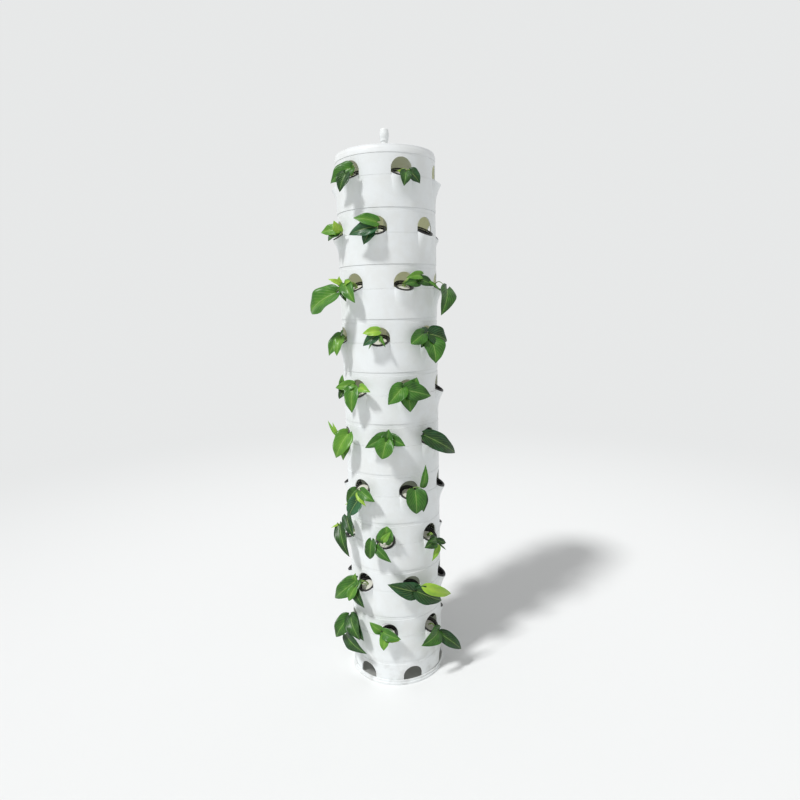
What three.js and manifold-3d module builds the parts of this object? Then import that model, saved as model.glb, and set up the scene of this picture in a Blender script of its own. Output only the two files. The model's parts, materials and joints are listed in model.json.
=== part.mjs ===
// A free-standing vertical planter tower: a stack of white polypropylene rings on a base tray.
// Arch rings and scoop rings alternate. Each scoop ring has six sloping mouths round its top
// edge, and each mouth rises into an arch cut in the foot of the ring above, so the rings key
// together and can't turn. A net pot with a sponge plug and a young plant sits in the mouths.
// A riser pipe stands in the base and passes through a drip tray and the lid to an end cap.
//
// Millimetres, +Z up. The origin is the middle of the underside. A turn of 0 degrees faces -Y,
// the front, and a positive turn goes towards +X.
import * as THREE from "three";
import { mergeVertices } from "three/addons/utils/BufferGeometryUtils.js";
import Module from "manifold-3d";

const wasm = await Module();
wasm.setup();

// The stack
const rows = 10; // planted rows
const portsPerRow = 6;
const portPitchTurn = 360 / portsPerRow;
const oddRowTurn = 17.3; // degrees from the front to the nearest port of rows 1, 3, 5 ...
const facetsPerPort = 4; // flat facets of a ring for each of its ports
const gap = 0.3; // between pieces that rest on or pass by each other
const weldDistance = 0.0001; // corners closer than this are one corner

// Arch ring: a skirt with arches in its foot, and a narrower neck above it
const ringRadius = 150;
const ringWall = 4;
const skirtHeight = 57.5;
const neckHeight = 18;
const neckInset = 2; // from the skirt's face to the neck's
const bandHeight = 11.5; // the part of the neck that stays in view under the next ring
const archWidth = 63.4;
const archStraight = 15; // height of the arch's straight sides
const archShoulderShare = 0.9; // of the arch's half width, out to the corner of side and crown

// Scoop ring: its foot slides over the neck below, and its top edge carries the scoops
const scoopRingHeight = 86.7;
const scoopRingProud = 0.5; // beyond the arch ring's face
const mouthTilt = 30; // degrees from level, falling outwards
const lipReach = 18.5; // from the scoop ring's face to the tip of the lip
const lipDrop = 8.5; // from the ring's top edge down to the tip of the lip
const lipWall = 3.2;
const flareHeight = 78; // from the ring's top edge down to where the scoop meets the wall
const hollowHeight = 60; // from the ring's top edge down to the end of the scoop's hollow
const rimStepTurn = 42; // degrees round the rim from its tip to its next corner
const waistDownShare = 0.36; // of the way down the flare, where it is narrowest for its height
const waistOutShare = 0.36; // of the lip's reach that is left there

// Base tray and riser
const trayRimWall = 3.7; // outside the groove that the lowest ring stands in
const trayFootWidth = 2; // of the foot beyond the rim's face
const trayFootHeight = 7.5;
const trayHeight = 16;
const traySeatHeight = 10; // where the lowest ring stands
const traySeatWidth = 8;
const trayFloor = 4;
const riserRadius = 10;
const riserWall = 1.8;
const riserStandHeight = 71; // above the lid
const socketWall = 4;
const socketHeight = 36;
const roundFacets = 12; // facets of the small round pieces

// Drip tray under the lid
const dripWall = 1.5;
const dripDepth = 17;
const dripFlange = 6; // width of the flange that rests on the top ring's neck
const dripHoleRadius = 3;
const dripHoles = 6;
const dripHoleSides = 6;
const dripHoleCircleShare = 0.62; // of the drip tray's inside radius

// Lid
const lidWall = 2.5;
const lidProud = 1; // beyond the arch ring's face
const lidPlate = 3;
const lidStepHeight = 7; // the narrower top of the skirt
const lidStepInset = 2.2;
const lidEdge = 2.4; // bevel round the top

// End cap on the riser
const capSkirtRadius = 12;
const capBeadRadius = 14;
const capCrownRadius = 12.4;
const capHeight = 36;
const capSkirtShare = 0.2; // shares of the cap's height
const capBeadLowShare = 0.34;
const capBeadHighShare = 0.62;
const capCrownShare = 0.86;
const capDomeShare = 0.55; // of the crown's radius
const capPlate = 10; // solid top above the bore

// Net pot with its plug and plant
const potFlangeRadius = 29.2;
const potFlangeThickness = 3;
const potTopRadius = 24.5;
const potFootRadius = 17;
const potDepth = 48;
const potFacets = 8;
const plugRise = 3; // of the sponge above the flange
const leafReach = 50; // from the ring's face out to the tip of a leaf
const leafWidth = 50;
const leafThickness = 1.8;
const leafArch = 13; // the blade's rise above the straight line from stalk to tip
const stalkWidth = 4;
const leafWidestShare = 0.55; // of the way from stalk to tip

// The planted mouths, as row, port and the tips of the leaves. A tip is so many degrees round
// the tower from the mouth, then three shares: its rise above the seam as a share of the tier,
// its distance from the ring's face as a share of leafReach, and the blade's share of leafWidth.
// Port 1 is the one nearest the front, and the others follow towards +X.
const plantShares = [
  [1, 6, [[-3, -0.31, 0.7, 0.9], [-14, 0.1, 0.9, 1.1]]],
  [1, 1, [[-4, -0.25, 0.6, 0.6], [13, -0.2, 0.65, 0.7]]],
  [2, 6, [[0, -0.13, 1.1, 0.9]]],
  [2, 1, [[-18, 0.2, 0.65, 0.7], [-12, -0.23, 0.7, 1]]],
  [3, 6, [[-25, -0.35, 1.9, 1.4], [8, -0.25, 0.7, 0.7]]],
  [3, 1, [[17, 0.1, 0.6, 0.8]]],
  [3, 2, [[-8, -0.38, 1.15, 1]]],
  [4, 6, [[4, -0.25, 1, 1]]],
  [4, 1, [[-14, 0.05, 0.6, 0.9]]],
  [4, 2, [[-23, -0.06, 0.65, 0.9], [-3, -0.38, 0.9, 1.3]]],
  [5, 6, [[-13, 0.15, 1, 0.9], [4, -0.3, 0.8, 0.9], [20, 0.09, 0.55, 0.6]]],
  [5, 1, [[-21, -0.13, 0.7, 0.9], [20, 0, 0.85, 1.3], [-1, -0.29, 0.8, 1.1]]],
  [6, 6, [[6, 0.35, 1.2, 0.5], [4, -0.28, 1.1, 1.2]]],
  [6, 1, [[-15, 0.01, 0.7, 0.7], [6, 0.34, 0.6, 0.6], [24, 0.06, 0.7, 0.8], [3, -0.17, 0.8, 1]]],
  [6, 2, [[16, -0.25, 1.2, 0.9]]],
  [6, 4, [[-14, -0.2, 0.8, 1], [15, 0.1, 0.7, 0.8]]],
  [7, 6, [[20, -0.08, 0.65, 0.6], [-7, -0.3, 0.85, 1.1]]],
  [7, 1, [[14, 0.6, 0.7, 0.5], [4, -0.29, 0.8, 1.2]]],
  [7, 3, [[-10, -0.28, 0.8, 1], [14, -0.12, 0.7, 0.8]]],
  [7, 4, [[-12, -0.1, 0.8, 0.9], [6, -0.32, 0.9, 1]]],
  [8, 6, [[-9, -0.1, 1.1, 0.9], [16, -0.3, 0.8, 0.9]]],
  [8, 1, [[-12, -0.21, 0.8, 0.8], [6, 0.4, 0.55, 0.8], [10, -0.26, 0.8, 0.6]]],
  [8, 2, [[-14, -0.2, 0.75, 0.9], [8, -0.3, 0.9, 0.7]]],
  [8, 4, [[-15, 0.02, 0.7, 0.7], [3, -0.3, 0.9, 1.1]]],
  [8, 5, [[-8, -0.25, 0.8, 1], [15, 0.05, 0.7, 0.8]]],
  [9, 6, [[-20, -0.15, 1.3, 1], [9, -0.3, 0.75, 0.7]]],
  [9, 1, [[-24, 0.2, 0.8, 1], [27, -0.2, 1, 1], [34, 0.02, 1.3, 0.8]]],
  [9, 3, [[-13, 0.08, 0.7, 0.8], [9, -0.28, 0.85, 1]]],
  [9, 4, [[-6, -0.3, 0.9, 1], [16, -0.06, 0.7, 0.8]]],
  [10, 6, [[-3, -0.34, 1.3, 1.4], [18, -0.32, 0.85, 1]]],
  [10, 1, [[-17, 0.35, 0.6, 0.6], [16, 0.12, 0.75, 0.8], [-4, -0.16, 0.8, 0.7]]],
  [10, 2, [[-22, -0.1, 0.8, 0.9], [20, -0.3, 1.3, 0.9]]],
  [10, 4, [[-14, -0.2, 0.8, 0.9], [10, -0.3, 0.8, 0.9]]],
  [10, 5, [[-4, -0.3, 0.9, 1.1], [17, 0.08, 0.7, 0.7]]],
];

const degrees = THREE.MathUtils.degToRad;

// Heights, worked out upwards from the ground
const tierPitch = skirtHeight + bandHeight + scoopRingHeight + gap;
const firstRingFoot = traySeatHeight + gap;
const topSeam = firstRingFoot + rows * tierPitch; // foot of the top arch ring
const topNeck = topSeam + skirtHeight + neckHeight;
const lidUnderside = topNeck + gap + dripWall + gap;
const lidTop = lidUnderside + lidPlate;

// Radii that follow from the rings
const neckRadius = ringRadius - neckInset;
const ringBore = ringRadius - ringWall;
const scoopRingRadius = ringRadius + scoopRingProud;
const skirtBore = neckRadius + gap;
const lidRadius = ringRadius + lidProud;

const facetTurn = portPitchTurn / facetsPerPort;

// The mouth: a tilted half circle, centred inside the wall
const rimRadius = archWidth / 2 - 2 * gap;
const tilt = degrees(mouthTilt);
const mouthReach = scoopRingRadius + lipReach - rimRadius * Math.cos(tilt);
const mouthRise = rimRadius * Math.sin(tilt) - lipDrop;

const plastic = { roughness: 0.38, metalness: 0 };
const finishes = {
  white: { color: 0xf2f3f1, ...plastic },
  black: { color: 0x17181a, roughness: 0.55, metalness: 0 },
  green: { color: 0x3f7a2c, roughness: 0.45, metalness: 0 },
};

// A three.js geometry as a solid that can be joined and cut. Corners that coincide are welded,
// and faces that this leaves without an area are dropped.
function solidOf(geometry) {
  const bare = geometry.clone();
  bare.deleteAttribute("normal");
  bare.deleteAttribute("uv");
  const merged = mergeVertices(bare, weldDistance);
  const corners = merged.index.array;
  const triVerts = [];
  for (let i = 0; i < corners.length; i += 3) {
    const [a, b, c] = corners.slice(i, i + 3);
    if (a !== b && b !== c && c !== a) triVerts.push(a, b, c);
  }
  return new wasm.Manifold(
    new wasm.Mesh({
      numProp: 3,
      vertProperties: merged.attributes.position.array,
      triVerts: new Uint32Array(triVerts),
    }),
  );
}

function meshOf(name, solid, finish) {
  const made = solid.getMesh();
  const geometry = new THREE.BufferGeometry();
  geometry.setAttribute("position", new THREE.BufferAttribute(made.vertProperties, made.numProp));
  geometry.setIndex(new THREE.BufferAttribute(made.triVerts, 1));
  geometry.computeVertexNormals();
  const mesh = new THREE.Mesh(geometry, new THREE.MeshStandardMaterial(finishes[finish]));
  mesh.name = name;
  return mesh;
}

// A revolved solid. The outline's [radius, height] points run upwards on the outside and
// close on themselves or on the axis. A flat facet, not an edge, faces the front.
function turned(outline, facets) {
  const points = outline.map(([radius, height]) => new THREE.Vector2(radius, height));
  if (points[0].x > 0) points.push(points[0].clone());
  return new THREE.LatheGeometry(points, facets, Math.PI / facets).rotateX(Math.PI / 2);
}

const cutAll = (body, cutters) => cutters.reduce((left, cutter) => left.subtract(cutter), body);
const joinAll = (solids) => solids.reduce((sum, solid) => sum.add(solid));

// A skin through a closed round of columns, each a closed loop of as many points.
function lofted(columns) {
  const count = columns[0].length;
  const index = [];
  columns.forEach((_, column) => {
    const next = (column + 1) % columns.length;
    for (let point = 0; point < count; point++) {
      const above = (point + 1) % count;
      const corners = [
        column * count + point,
        next * count + point,
        next * count + above,
        column * count + above,
      ];
      index.push(corners[0], corners[1], corners[2], corners[0], corners[2], corners[3]);
    }
  });
  const geometry = new THREE.BufferGeometry();
  geometry.setAttribute("position", new THREE.Float32BufferAttribute(columns.flat(2), 3));
  geometry.setIndex(index);
  return geometry;
}

// A point on one of a ring's flat facets. The radius is that of the corners between facets.
function onFacet(radius, turn, height) {
  const offMiddle = turn - facetTurn * Math.round(turn / facetTurn);
  const reach = (radius * Math.cos(degrees(facetTurn / 2))) / Math.cos(degrees(offMiddle));
  return [reach * Math.sin(degrees(turn)), -reach * Math.cos(degrees(turn)), height];
}

// A ring from the columns of one of its ports, which are repeated at each port.
function ringOf(columns) {
  const round = Array.from({ length: portsPerRow }, (_, port) => {
    const spin = new THREE.Matrix4().makeRotationZ(degrees(port * portPitchTurn));
    return columns.map((column) =>
      column.map((point) => new THREE.Vector3(...point).applyMatrix4(spin).toArray()),
    );
  });
  return solidOf(lofted(round.flat()));
}

// Arch ring, its foot at z = 0. Each column runs up the outside and down the bore. Over the arch
// it starts at the arch's edge, and its top takes the place of the nearest corner of the facets.
function archRing() {
  const top = skirtHeight + neckHeight;
  const column = (turn, foot, topTurn) => [
    onFacet(ringRadius, turn, foot),
    onFacet(ringRadius, topTurn, skirtHeight),
    onFacet(neckRadius, topTurn, skirtHeight),
    onFacet(neckRadius, topTurn, top),
    onFacet(ringBore, topTurn, top),
    onFacet(ringBore, turn, foot),
  ];
  const half = archWidth / 2;
  const sideTurn = THREE.MathUtils.radToDeg(Math.asin(half / ringRadius));
  const archHeight = (turn) => {
    const across = ringRadius * Math.sin(degrees(turn));
    return archStraight + Math.sqrt(half * half - across * across);
  };
  const shoulderTurn = THREE.MathUtils.radToDeg(Math.asin((archShoulderShare * half) / ringRadius));
  const corner = facetTurn / 2;
  const farCorner = portPitchTurn / 2 - corner;
  return ringOf([
    column(-farCorner, 0, -farCorner),
    column(-sideTurn, 0, -corner),
    column(-sideTurn, archStraight, -corner),
    column(-shoulderTurn, archHeight(shoulderTurn), -corner),
    column(-corner, archHeight(corner), -corner),
    column(0, archHeight(0), -corner),
    column(corner, archHeight(corner), corner),
    column(shoulderTurn, archHeight(shoulderTurn), corner),
    column(sideTurn, archStraight, corner),
    column(sideTurn, 0, corner),
    column(farCorner, 0, farCorner),
  ]);
}

// Height of the mouth's plane at a distance from the axis, above the scoop ring's top edge
const mouthHeight = (reach) => mouthRise - (reach - mouthReach) * Math.tan(tilt);

// Scoop ring, its foot at z = 0. Each column runs from the foot up the outside, over the rim and
// down the inside to the recess that takes the neck below. Where points of a column coincide,
// the skin has no face.
function scoopRing() {
  const top = scoopRingHeight;
  const ledge = neckHeight - bandHeight + gap;
  const recess = (footTurn) => [
    onFacet(ringBore, footTurn, ledge),
    onFacet(skirtBore, footTurn, ledge),
    onFacet(skirtBore, footTurn, 0),
  ];
  const plainColumn = (turn, rise, footTurn) => {
    const foot = onFacet(scoopRingRadius, footTurn, 0);
    return [
      foot,
      foot,
      foot,
      onFacet(scoopRingRadius, turn, top),
      onFacet(scoopRingRadius, turn, top + rise),
      onFacet(ringBore, turn, top + rise),
      onFacet(ringBore, turn, top),
      onFacet(ringBore, footTurn, ledge),
      ...recess(footTurn),
    ];
  };
  const scoopColumn = (turn, rimTurn, footTurn) => {
    const onRim = (radius) => {
      const reach = mouthReach + radius * Math.cos(degrees(rimTurn)) * Math.cos(tilt);
      return [radius * Math.sin(degrees(rimTurn)), -reach, top + mouthHeight(reach)];
    };
    const flareFoot = onFacet(scoopRingRadius, turn, top - flareHeight);
    const rim = onRim(rimRadius);
    const innerRim = onRim(rimRadius - lipWall);
    const waistShares = [waistOutShare, waistOutShare, 1 - waistDownShare];
    const waist = flareFoot.map((place, axis) => place + waistShares[axis] * (rim[axis] - place));
    return [
      onFacet(scoopRingRadius, footTurn, 0),
      flareFoot,
      waist,
      rim,
      rim,
      innerRim,
      innerRim,
      onFacet(ringBore, turn, top - hollowHeight),
      ...recess(footTurn),
    ];
  };
  const edgeTurn = THREE.MathUtils.radToDeg(Math.asin(rimRadius / scoopRingRadius));
  const tongueRise = mouthHeight(scoopRingRadius * Math.cos(degrees(edgeTurn)));
  const corner = facetTurn / 2;
  const farCorner = portPitchTurn / 2 - corner;
  return ringOf([
    plainColumn(-farCorner, 0, -farCorner),
    plainColumn(-edgeTurn, 0, -corner),
    plainColumn(-edgeTurn, tongueRise, -corner),
    scoopColumn(-corner, -rimStepTurn, -corner),
    scoopColumn(0, 0, -corner),
    scoopColumn(corner, rimStepTurn, corner),
    plainColumn(edgeTurn, tongueRise, corner),
    plainColumn(edgeTurn, 0, corner),
    plainColumn(farCorner, 0, farCorner),
  ]);
}

// Base tray: a dish with a groove for the lowest ring and a blind socket for the riser
function baseTray() {
  const seatOuter = ringRadius + gap;
  const seatInner = seatOuter - traySeatWidth;
  const rim = seatOuter + trayRimWall;
  const bore = riserRadius + gap;
  const dish = turned(
    [
      [0, 0],
      [rim + trayFootWidth, 0],
      [rim + trayFootWidth, trayFootHeight],
      [rim, trayFootHeight],
      [rim, trayHeight],
      [seatOuter, trayHeight],
      [seatOuter, traySeatHeight],
      [seatInner, traySeatHeight],
      [seatInner, trayFloor],
      [0, trayFloor],
    ],
    portsPerRow * facetsPerPort,
  );
  const socket = turned(
    [
      [bore, trayFloor / 2],
      [bore + socketWall, trayFloor / 2],
      [bore + socketWall, socketHeight],
      [bore, socketHeight],
    ],
    roundFacets,
  );
  return joinAll([solidOf(dish), solidOf(socket)]);
}

function riserPipe() {
  const foot = trayFloor + gap;
  const top = lidTop + riserStandHeight;
  const bore = riserRadius - riserWall;
  return solidOf(
    turned(
      [
        [bore, foot],
        [riserRadius, foot],
        [riserRadius, top],
        [bore, top],
      ],
      roundFacets,
    ),
  );
}

// Drip tray: a dish that hangs by its flange on the top ring's neck, with holes in its floor
function dripTray() {
  const flangeTop = topNeck + gap + dripWall;
  const floorTop = flangeTop - dripDepth;
  const outer = neckRadius;
  const inner = ringBore - dripFlange;
  const bore = riserRadius + gap;
  const dish = solidOf(
    turned(
      [
        [bore, floorTop - dripWall],
        [inner, floorTop - dripWall],
        [inner, flangeTop - dripWall],
        [outer, flangeTop - dripWall],
        [outer, flangeTop],
        [inner - dripWall, flangeTop],
        [inner - dripWall, floorTop],
        [bore, floorTop],
      ],
      portsPerRow * facetsPerPort,
    ),
  );
  const drill = solidOf(
    new THREE.CylinderGeometry(dripHoleRadius, dripHoleRadius, dripDepth, dripHoleSides)
      .rotateX(Math.PI / 2)
      .translate(0, -inner * dripHoleCircleShare, floorTop),
  );
  const drills = Array.from({ length: dripHoles }, (_, i) => drill.rotate([0, 0, (i * 360) / dripHoles]));
  return cutAll(dish, drills);
}

function lid() {
  const foot = topSeam + skirtHeight + gap;
  const step = lidTop - lidStepHeight;
  const crown = lidRadius - lidStepInset;
  return solidOf(
    turned(
      [
        [riserRadius + gap, lidUnderside],
        [lidRadius - lidWall, lidUnderside],
        [lidRadius - lidWall, foot],
        [lidRadius, foot],
        [lidRadius, step - lidStepInset],
        [crown, step],
        [crown, lidTop - lidEdge],
        [crown - lidEdge, lidTop],
        [riserRadius + gap, lidTop],
      ],
      portsPerRow * facetsPerPort,
    ),
  );
}

// End cap: a skirt, a bead to grip it by and a low dome, over a blind bore
function endCap() {
  const top = lidTop + riserStandHeight + gap + capPlate;
  const foot = top - capHeight;
  const bore = riserRadius + gap;
  const at = (share) => foot + share * capHeight;
  return solidOf(
    turned(
      [
        [bore, foot],
        [capSkirtRadius, foot],
        [capSkirtRadius, at(capSkirtShare)],
        [capBeadRadius, at(capBeadLowShare)],
        [capBeadRadius, at(capBeadHighShare)],
        [capCrownRadius, at(capCrownShare)],
        [capCrownRadius * capDomeShare, top],
        [0, top],
        [0, top - capPlate],
        [bore, top - capPlate],
        [bore, foot],
      ],
      roundFacets,
    ),
  );
}

// A point by degrees round the tower, distance from the axis and height
const around = (turn, reach, height) =>
  new THREE.Vector3(reach * Math.sin(degrees(turn)), -reach * Math.cos(degrees(turn)), height);

// One leaf: a stalk's root in the plug, a widest section and a tip. The blade bends there.
function leaf([tipTurn, riseShare, reachShare, widthShare]) {
  const rootOut = gap + potFlangeThickness;
  const root = around(0, mouthReach, mouthRise).add(
    new THREE.Vector3(0, -Math.sin(tilt), Math.cos(tilt)).multiplyScalar(rootOut),
  );
  const rise = riseShare * tierPitch;
  const tip = around(tipTurn, ringRadius + reachShare * leafReach, rise);
  const middle = around(
    tipTurn * leafWidestShare,
    THREE.MathUtils.lerp(mouthReach, ringRadius + reachShare * leafReach, leafWidestShare) + leafArch,
    THREE.MathUtils.lerp(root.z, rise, leafWidestShare) + leafArch,
  );
  const side = around(tipTurn * leafWidestShare + 90, 1, 0);
  const along = tip.clone().sub(root).normalize();
  const face = along.clone().cross(side).normalize();
  const section = (centre, width, thickness) =>
    [[-1, 1], [1, 1], [1, -1], [-1, -1]].map(([across, out]) =>
      centre
        .clone()
        .addScaledVector(side, (across * width) / 2)
        .addScaledVector(face, (out * thickness) / 2)
        .toArray(),
    );
  return solidOf(
    lofted([
      section(root, 0, 0),
      section(root, stalkWidth, stalkWidth),
      section(middle, leafWidth * widthShare, leafThickness),
      section(tip, 0, 0),
    ]),
  );
}

// A net pot with its plug and plant, seated in the mouth at the front. z = 0 is the top edge of
// the scoop ring that carries it.
function pottedPlant(leafShares) {
  const pot = turned(
    [
      [0, -potDepth],
      [potFootRadius, -potDepth],
      [potTopRadius, gap],
      [potFlangeRadius, gap],
      [potFlangeRadius, gap + potFlangeThickness],
      [0, gap + potFlangeThickness + plugRise],
    ],
    potFacets,
  );
  pot.rotateX(tilt).translate(0, -mouthReach, mouthRise);
  return joinAll([solidOf(pot), ...leafShares.map(leaf)]);
}

const twoDigits = (number) => String(number).padStart(2, "0");
const rowTurn = (row) => oddRowTurn - (row % 2 === 0 ? portPitchTurn / 2 : 0);
const rowSeam = (row) => topSeam - (row - 1) * tierPitch;

const tower = new THREE.Group();
// The round pieces keep their flat facets in line with those of the rings beside them.
const addRound = (name, solid) => {
  const mesh = meshOf(name, solid, "white");
  mesh.rotation.z = degrees(oddRowTurn);
  tower.add(mesh);
};
addRound("base_tray", baseTray());
const archSolid = archRing();
const scoopSolid = scoopRing();
for (let row = 1; row <= rows + 1; row++) {
  const ring = meshOf(`arch_ring_${twoDigits(row)}`, archSolid, "white");
  ring.position.z = row <= rows ? rowSeam(row) : firstRingFoot;
  ring.rotation.z = degrees(rowTurn(row));
  tower.add(ring);
}
for (let row = 1; row <= rows; row++) {
  const ring = meshOf(`scoop_ring_${twoDigits(row)}`, scoopSolid, "white");
  ring.position.z = rowSeam(row) - gap - scoopRingHeight;
  ring.rotation.z = degrees(rowTurn(row));
  tower.add(ring);
}
addRound("riser_pipe", riserPipe());
addRound("drip_tray", dripTray());
addRound("lid", lid());
addRound("end_cap", endCap());
for (const [row, port, leafShares] of plantShares) {
  const plant = meshOf(`planted_pot_${twoDigits(row)}_${port}`, pottedPlant(leafShares), "green");
  plant.position.z = rowSeam(row) - gap;
  plant.rotation.z = degrees(rowTurn(row) + (port - 1) * portPitchTurn);
  tower.add(plant);
}

export default tower;
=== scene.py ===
# %% [markdown]
# # A planter tower of white rings
#
# The real object is a column of moulded polypropylene rings. Two kinds alternate: a ring with
# six arches in its foot, and a ring with six sloping scoops in its top edge. Most scoops hold a
# black net pot with a sponge plug and a young climbing plant.
#
# The CAD model gives every piece's place and size. This script gives each one its fine surface
# and its finish. Lengths are metres, and a turn of 0 degrees faces -Y, the front.

# %% Load the frame
import json
import math
import random

import bmesh
import bpy
import numpy as np
from mathutils import Matrix, Vector
from mathutils.bvhtree import BVHTree

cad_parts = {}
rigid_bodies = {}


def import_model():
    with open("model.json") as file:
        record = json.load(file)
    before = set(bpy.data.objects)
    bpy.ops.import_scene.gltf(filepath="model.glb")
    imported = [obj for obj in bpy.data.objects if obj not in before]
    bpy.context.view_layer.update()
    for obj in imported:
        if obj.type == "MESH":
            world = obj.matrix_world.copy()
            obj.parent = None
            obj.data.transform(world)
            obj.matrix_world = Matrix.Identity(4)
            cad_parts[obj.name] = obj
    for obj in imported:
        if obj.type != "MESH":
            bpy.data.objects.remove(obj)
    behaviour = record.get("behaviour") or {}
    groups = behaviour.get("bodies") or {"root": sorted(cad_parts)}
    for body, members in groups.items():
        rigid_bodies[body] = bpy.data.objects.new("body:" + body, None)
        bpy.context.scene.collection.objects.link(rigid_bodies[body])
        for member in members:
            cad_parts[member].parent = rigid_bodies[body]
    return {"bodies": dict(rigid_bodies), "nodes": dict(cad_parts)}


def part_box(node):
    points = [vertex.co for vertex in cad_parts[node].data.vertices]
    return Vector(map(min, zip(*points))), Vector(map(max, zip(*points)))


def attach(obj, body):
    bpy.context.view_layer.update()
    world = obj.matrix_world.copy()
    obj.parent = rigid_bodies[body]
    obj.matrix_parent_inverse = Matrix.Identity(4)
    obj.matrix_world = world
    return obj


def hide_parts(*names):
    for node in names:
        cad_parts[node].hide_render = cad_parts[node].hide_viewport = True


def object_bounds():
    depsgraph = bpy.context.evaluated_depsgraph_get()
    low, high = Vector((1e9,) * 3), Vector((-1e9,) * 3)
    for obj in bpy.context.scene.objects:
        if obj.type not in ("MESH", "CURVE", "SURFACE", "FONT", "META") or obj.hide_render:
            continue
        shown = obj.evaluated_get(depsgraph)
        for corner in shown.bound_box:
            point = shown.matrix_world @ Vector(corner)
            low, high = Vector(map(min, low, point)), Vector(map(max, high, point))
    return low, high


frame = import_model()
cad_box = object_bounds()
MM = 0.001
print("CAD box:", [[round(v, 4) for v in corner] for corner in cad_box])

# %% [markdown]
# ## The camera
#
# The camera stands where the photograph was taken from. Its height, its tilt and its lens come
# from fitting the rings' joints to their places in the picture, with the rings 300 mm across.
# The same fit is kept as a function: it turns a pixel of the photograph into a point in space,
# which later puts each leaf where it is seen.

# %% Camera
PHOTO_PIXELS = 800
CAMERA_DISTANCE = 1.776
CAMERA_HEIGHT = 1.208
CAMERA_TURN = math.radians(0.9)  # round the tower, to the left of its front
CAMERA_PITCH = math.radians(9.58)
CAMERA_ROLL = math.radians(-1.42)
CAMERA_YAW = math.radians(0.89)
FOCAL_PIXELS = 556.5
SENSOR_WIDTH = 36

heading = CAMERA_YAW + CAMERA_TURN
level_forward = Vector((math.sin(heading), math.cos(heading), 0))
level_right = Vector((math.cos(heading), -math.sin(heading), 0))
UP = Vector((0, 0, 1))
view_forward = math.cos(CAMERA_PITCH) * level_forward - math.sin(CAMERA_PITCH) * UP
pitched_up = math.sin(CAMERA_PITCH) * level_forward + math.cos(CAMERA_PITCH) * UP
view_right = math.cos(CAMERA_ROLL) * level_right + math.sin(CAMERA_ROLL) * pitched_up
view_up = -math.sin(CAMERA_ROLL) * level_right + math.cos(CAMERA_ROLL) * pitched_up
camera_place = Vector((
    -CAMERA_DISTANCE * math.sin(CAMERA_TURN), -CAMERA_DISTANCE * math.cos(CAMERA_TURN), CAMERA_HEIGHT
))

lens = bpy.data.cameras.new("photo_camera")
lens.sensor_width = SENSOR_WIDTH
lens.lens = FOCAL_PIXELS / PHOTO_PIXELS * SENSOR_WIDTH
camera = bpy.data.objects.new("photo_camera", lens)
bpy.context.scene.collection.objects.link(camera)
turned_axes = Matrix((view_right, view_up, -view_forward)).transposed()
camera.matrix_world = Matrix.Translation(camera_place) @ turned_axes.to_4x4()
bpy.context.scene.camera = camera
print("Lens:", round(lens.lens, 2), "mm")

# %% From a pixel to a point
NEAR_SIDE_SHARE = 0.4  # of the distance: how far in front a point is that lies off the tower's side


def seen_at(across, down, distance):
    """The point on a pixel's line of sight that is so far from the tower's axis, on the near side."""
    middle = PHOTO_PIXELS / 2
    sight = view_forward + (across - middle) / FOCAL_PIXELS * view_right
    sight -= (down - middle) / FOCAL_PIXELS * view_up
    square = sight.x**2 + sight.y**2
    linear = 2 * (camera_place.x * sight.x + camera_place.y * sight.y)
    rest = camera_place.x**2 + camera_place.y**2 - distance**2
    inside = linear * linear - 4 * square * rest
    if inside > 0:
        steps = (-linear - math.sqrt(inside)) / (2 * square)
    else:
        steps = (-NEAR_SIDE_SHARE * distance - camera_place.y) / sight.y
    return camera_place + steps * sight


# %% [markdown]
# ## Floor and light
#
# The set is a studio: a wide pale floor that fades into an equally pale distance, a soft sun
# from the upper left, as in the photograph, and an even sky. The floor's own colour is pale,
# so no extra light is needed to make it so.

# %% Short calls for node trees
class Tree:
    """A node tree with short calls that add a node and join its sockets."""

    def __init__(self, tree):
        self.tree = tree

    def feed(self, node, inputs):
        """Give sockets of a node plain values, or join them to other sockets."""
        for name, value in inputs.items():
            if isinstance(value, bpy.types.NodeSocket):
                self.tree.links.new(value, node.inputs[name])
            else:
                node.inputs[name].default_value = value

    def add(self, kind, inputs=None, **settings):
        made = self.tree.nodes.new(kind)
        for name, value in settings.items():
            setattr(made, name, value)
        self.feed(made, inputs or {})
        return made

    def maths(self, operation, *values):
        return self.add("ShaderNodeMath", dict(enumerate(values)), operation=operation).outputs[0]

    def fade(self, value, low, high, start=0.0, end=1.0):
        """The value's way from low to high, as a soft ramp from start to end."""
        ramp = {"Value": value, "From Min": low, "From Max": high, "To Min": start, "To Max": end}
        return self.add("ShaderNodeMapRange", ramp, interpolation_type="SMOOTHSTEP").outputs[0]

    def blend(self, factor, first, second):
        """Two colours mixed. A mix node has its colours at sockets 6 and 7, and at output 2."""
        return self.add("ShaderNodeMix", {0: factor, 6: first, 7: second}, data_type="RGBA").outputs[2]

    def place(self):
        """Where on the object the shaded point is."""
        return self.add("ShaderNodeTexCoord").outputs["Object"]

    def noise(self, scale, detail=2.0):
        """Cloudy noise from 0 to 1."""
        inputs = {"Vector": self.place(), "Scale": scale, "Detail": detail}
        return self.add("ShaderNodeTexNoise", inputs).outputs["Fac"]

    def use(self, group, inputs):
        """The outputs of a node group that is placed in this tree."""
        return self.add("ShaderNodeGroup", inputs, node_tree=group).outputs


def material(name):
    """A new material, its tree and its Principled BSDF."""
    made = bpy.data.materials.new(name)
    made.use_nodes = True
    return made, Tree(made.node_tree), made.node_tree.nodes["Principled BSDF"]


def colour(red, green, blue):
    return (red, green, blue, 1)


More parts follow.
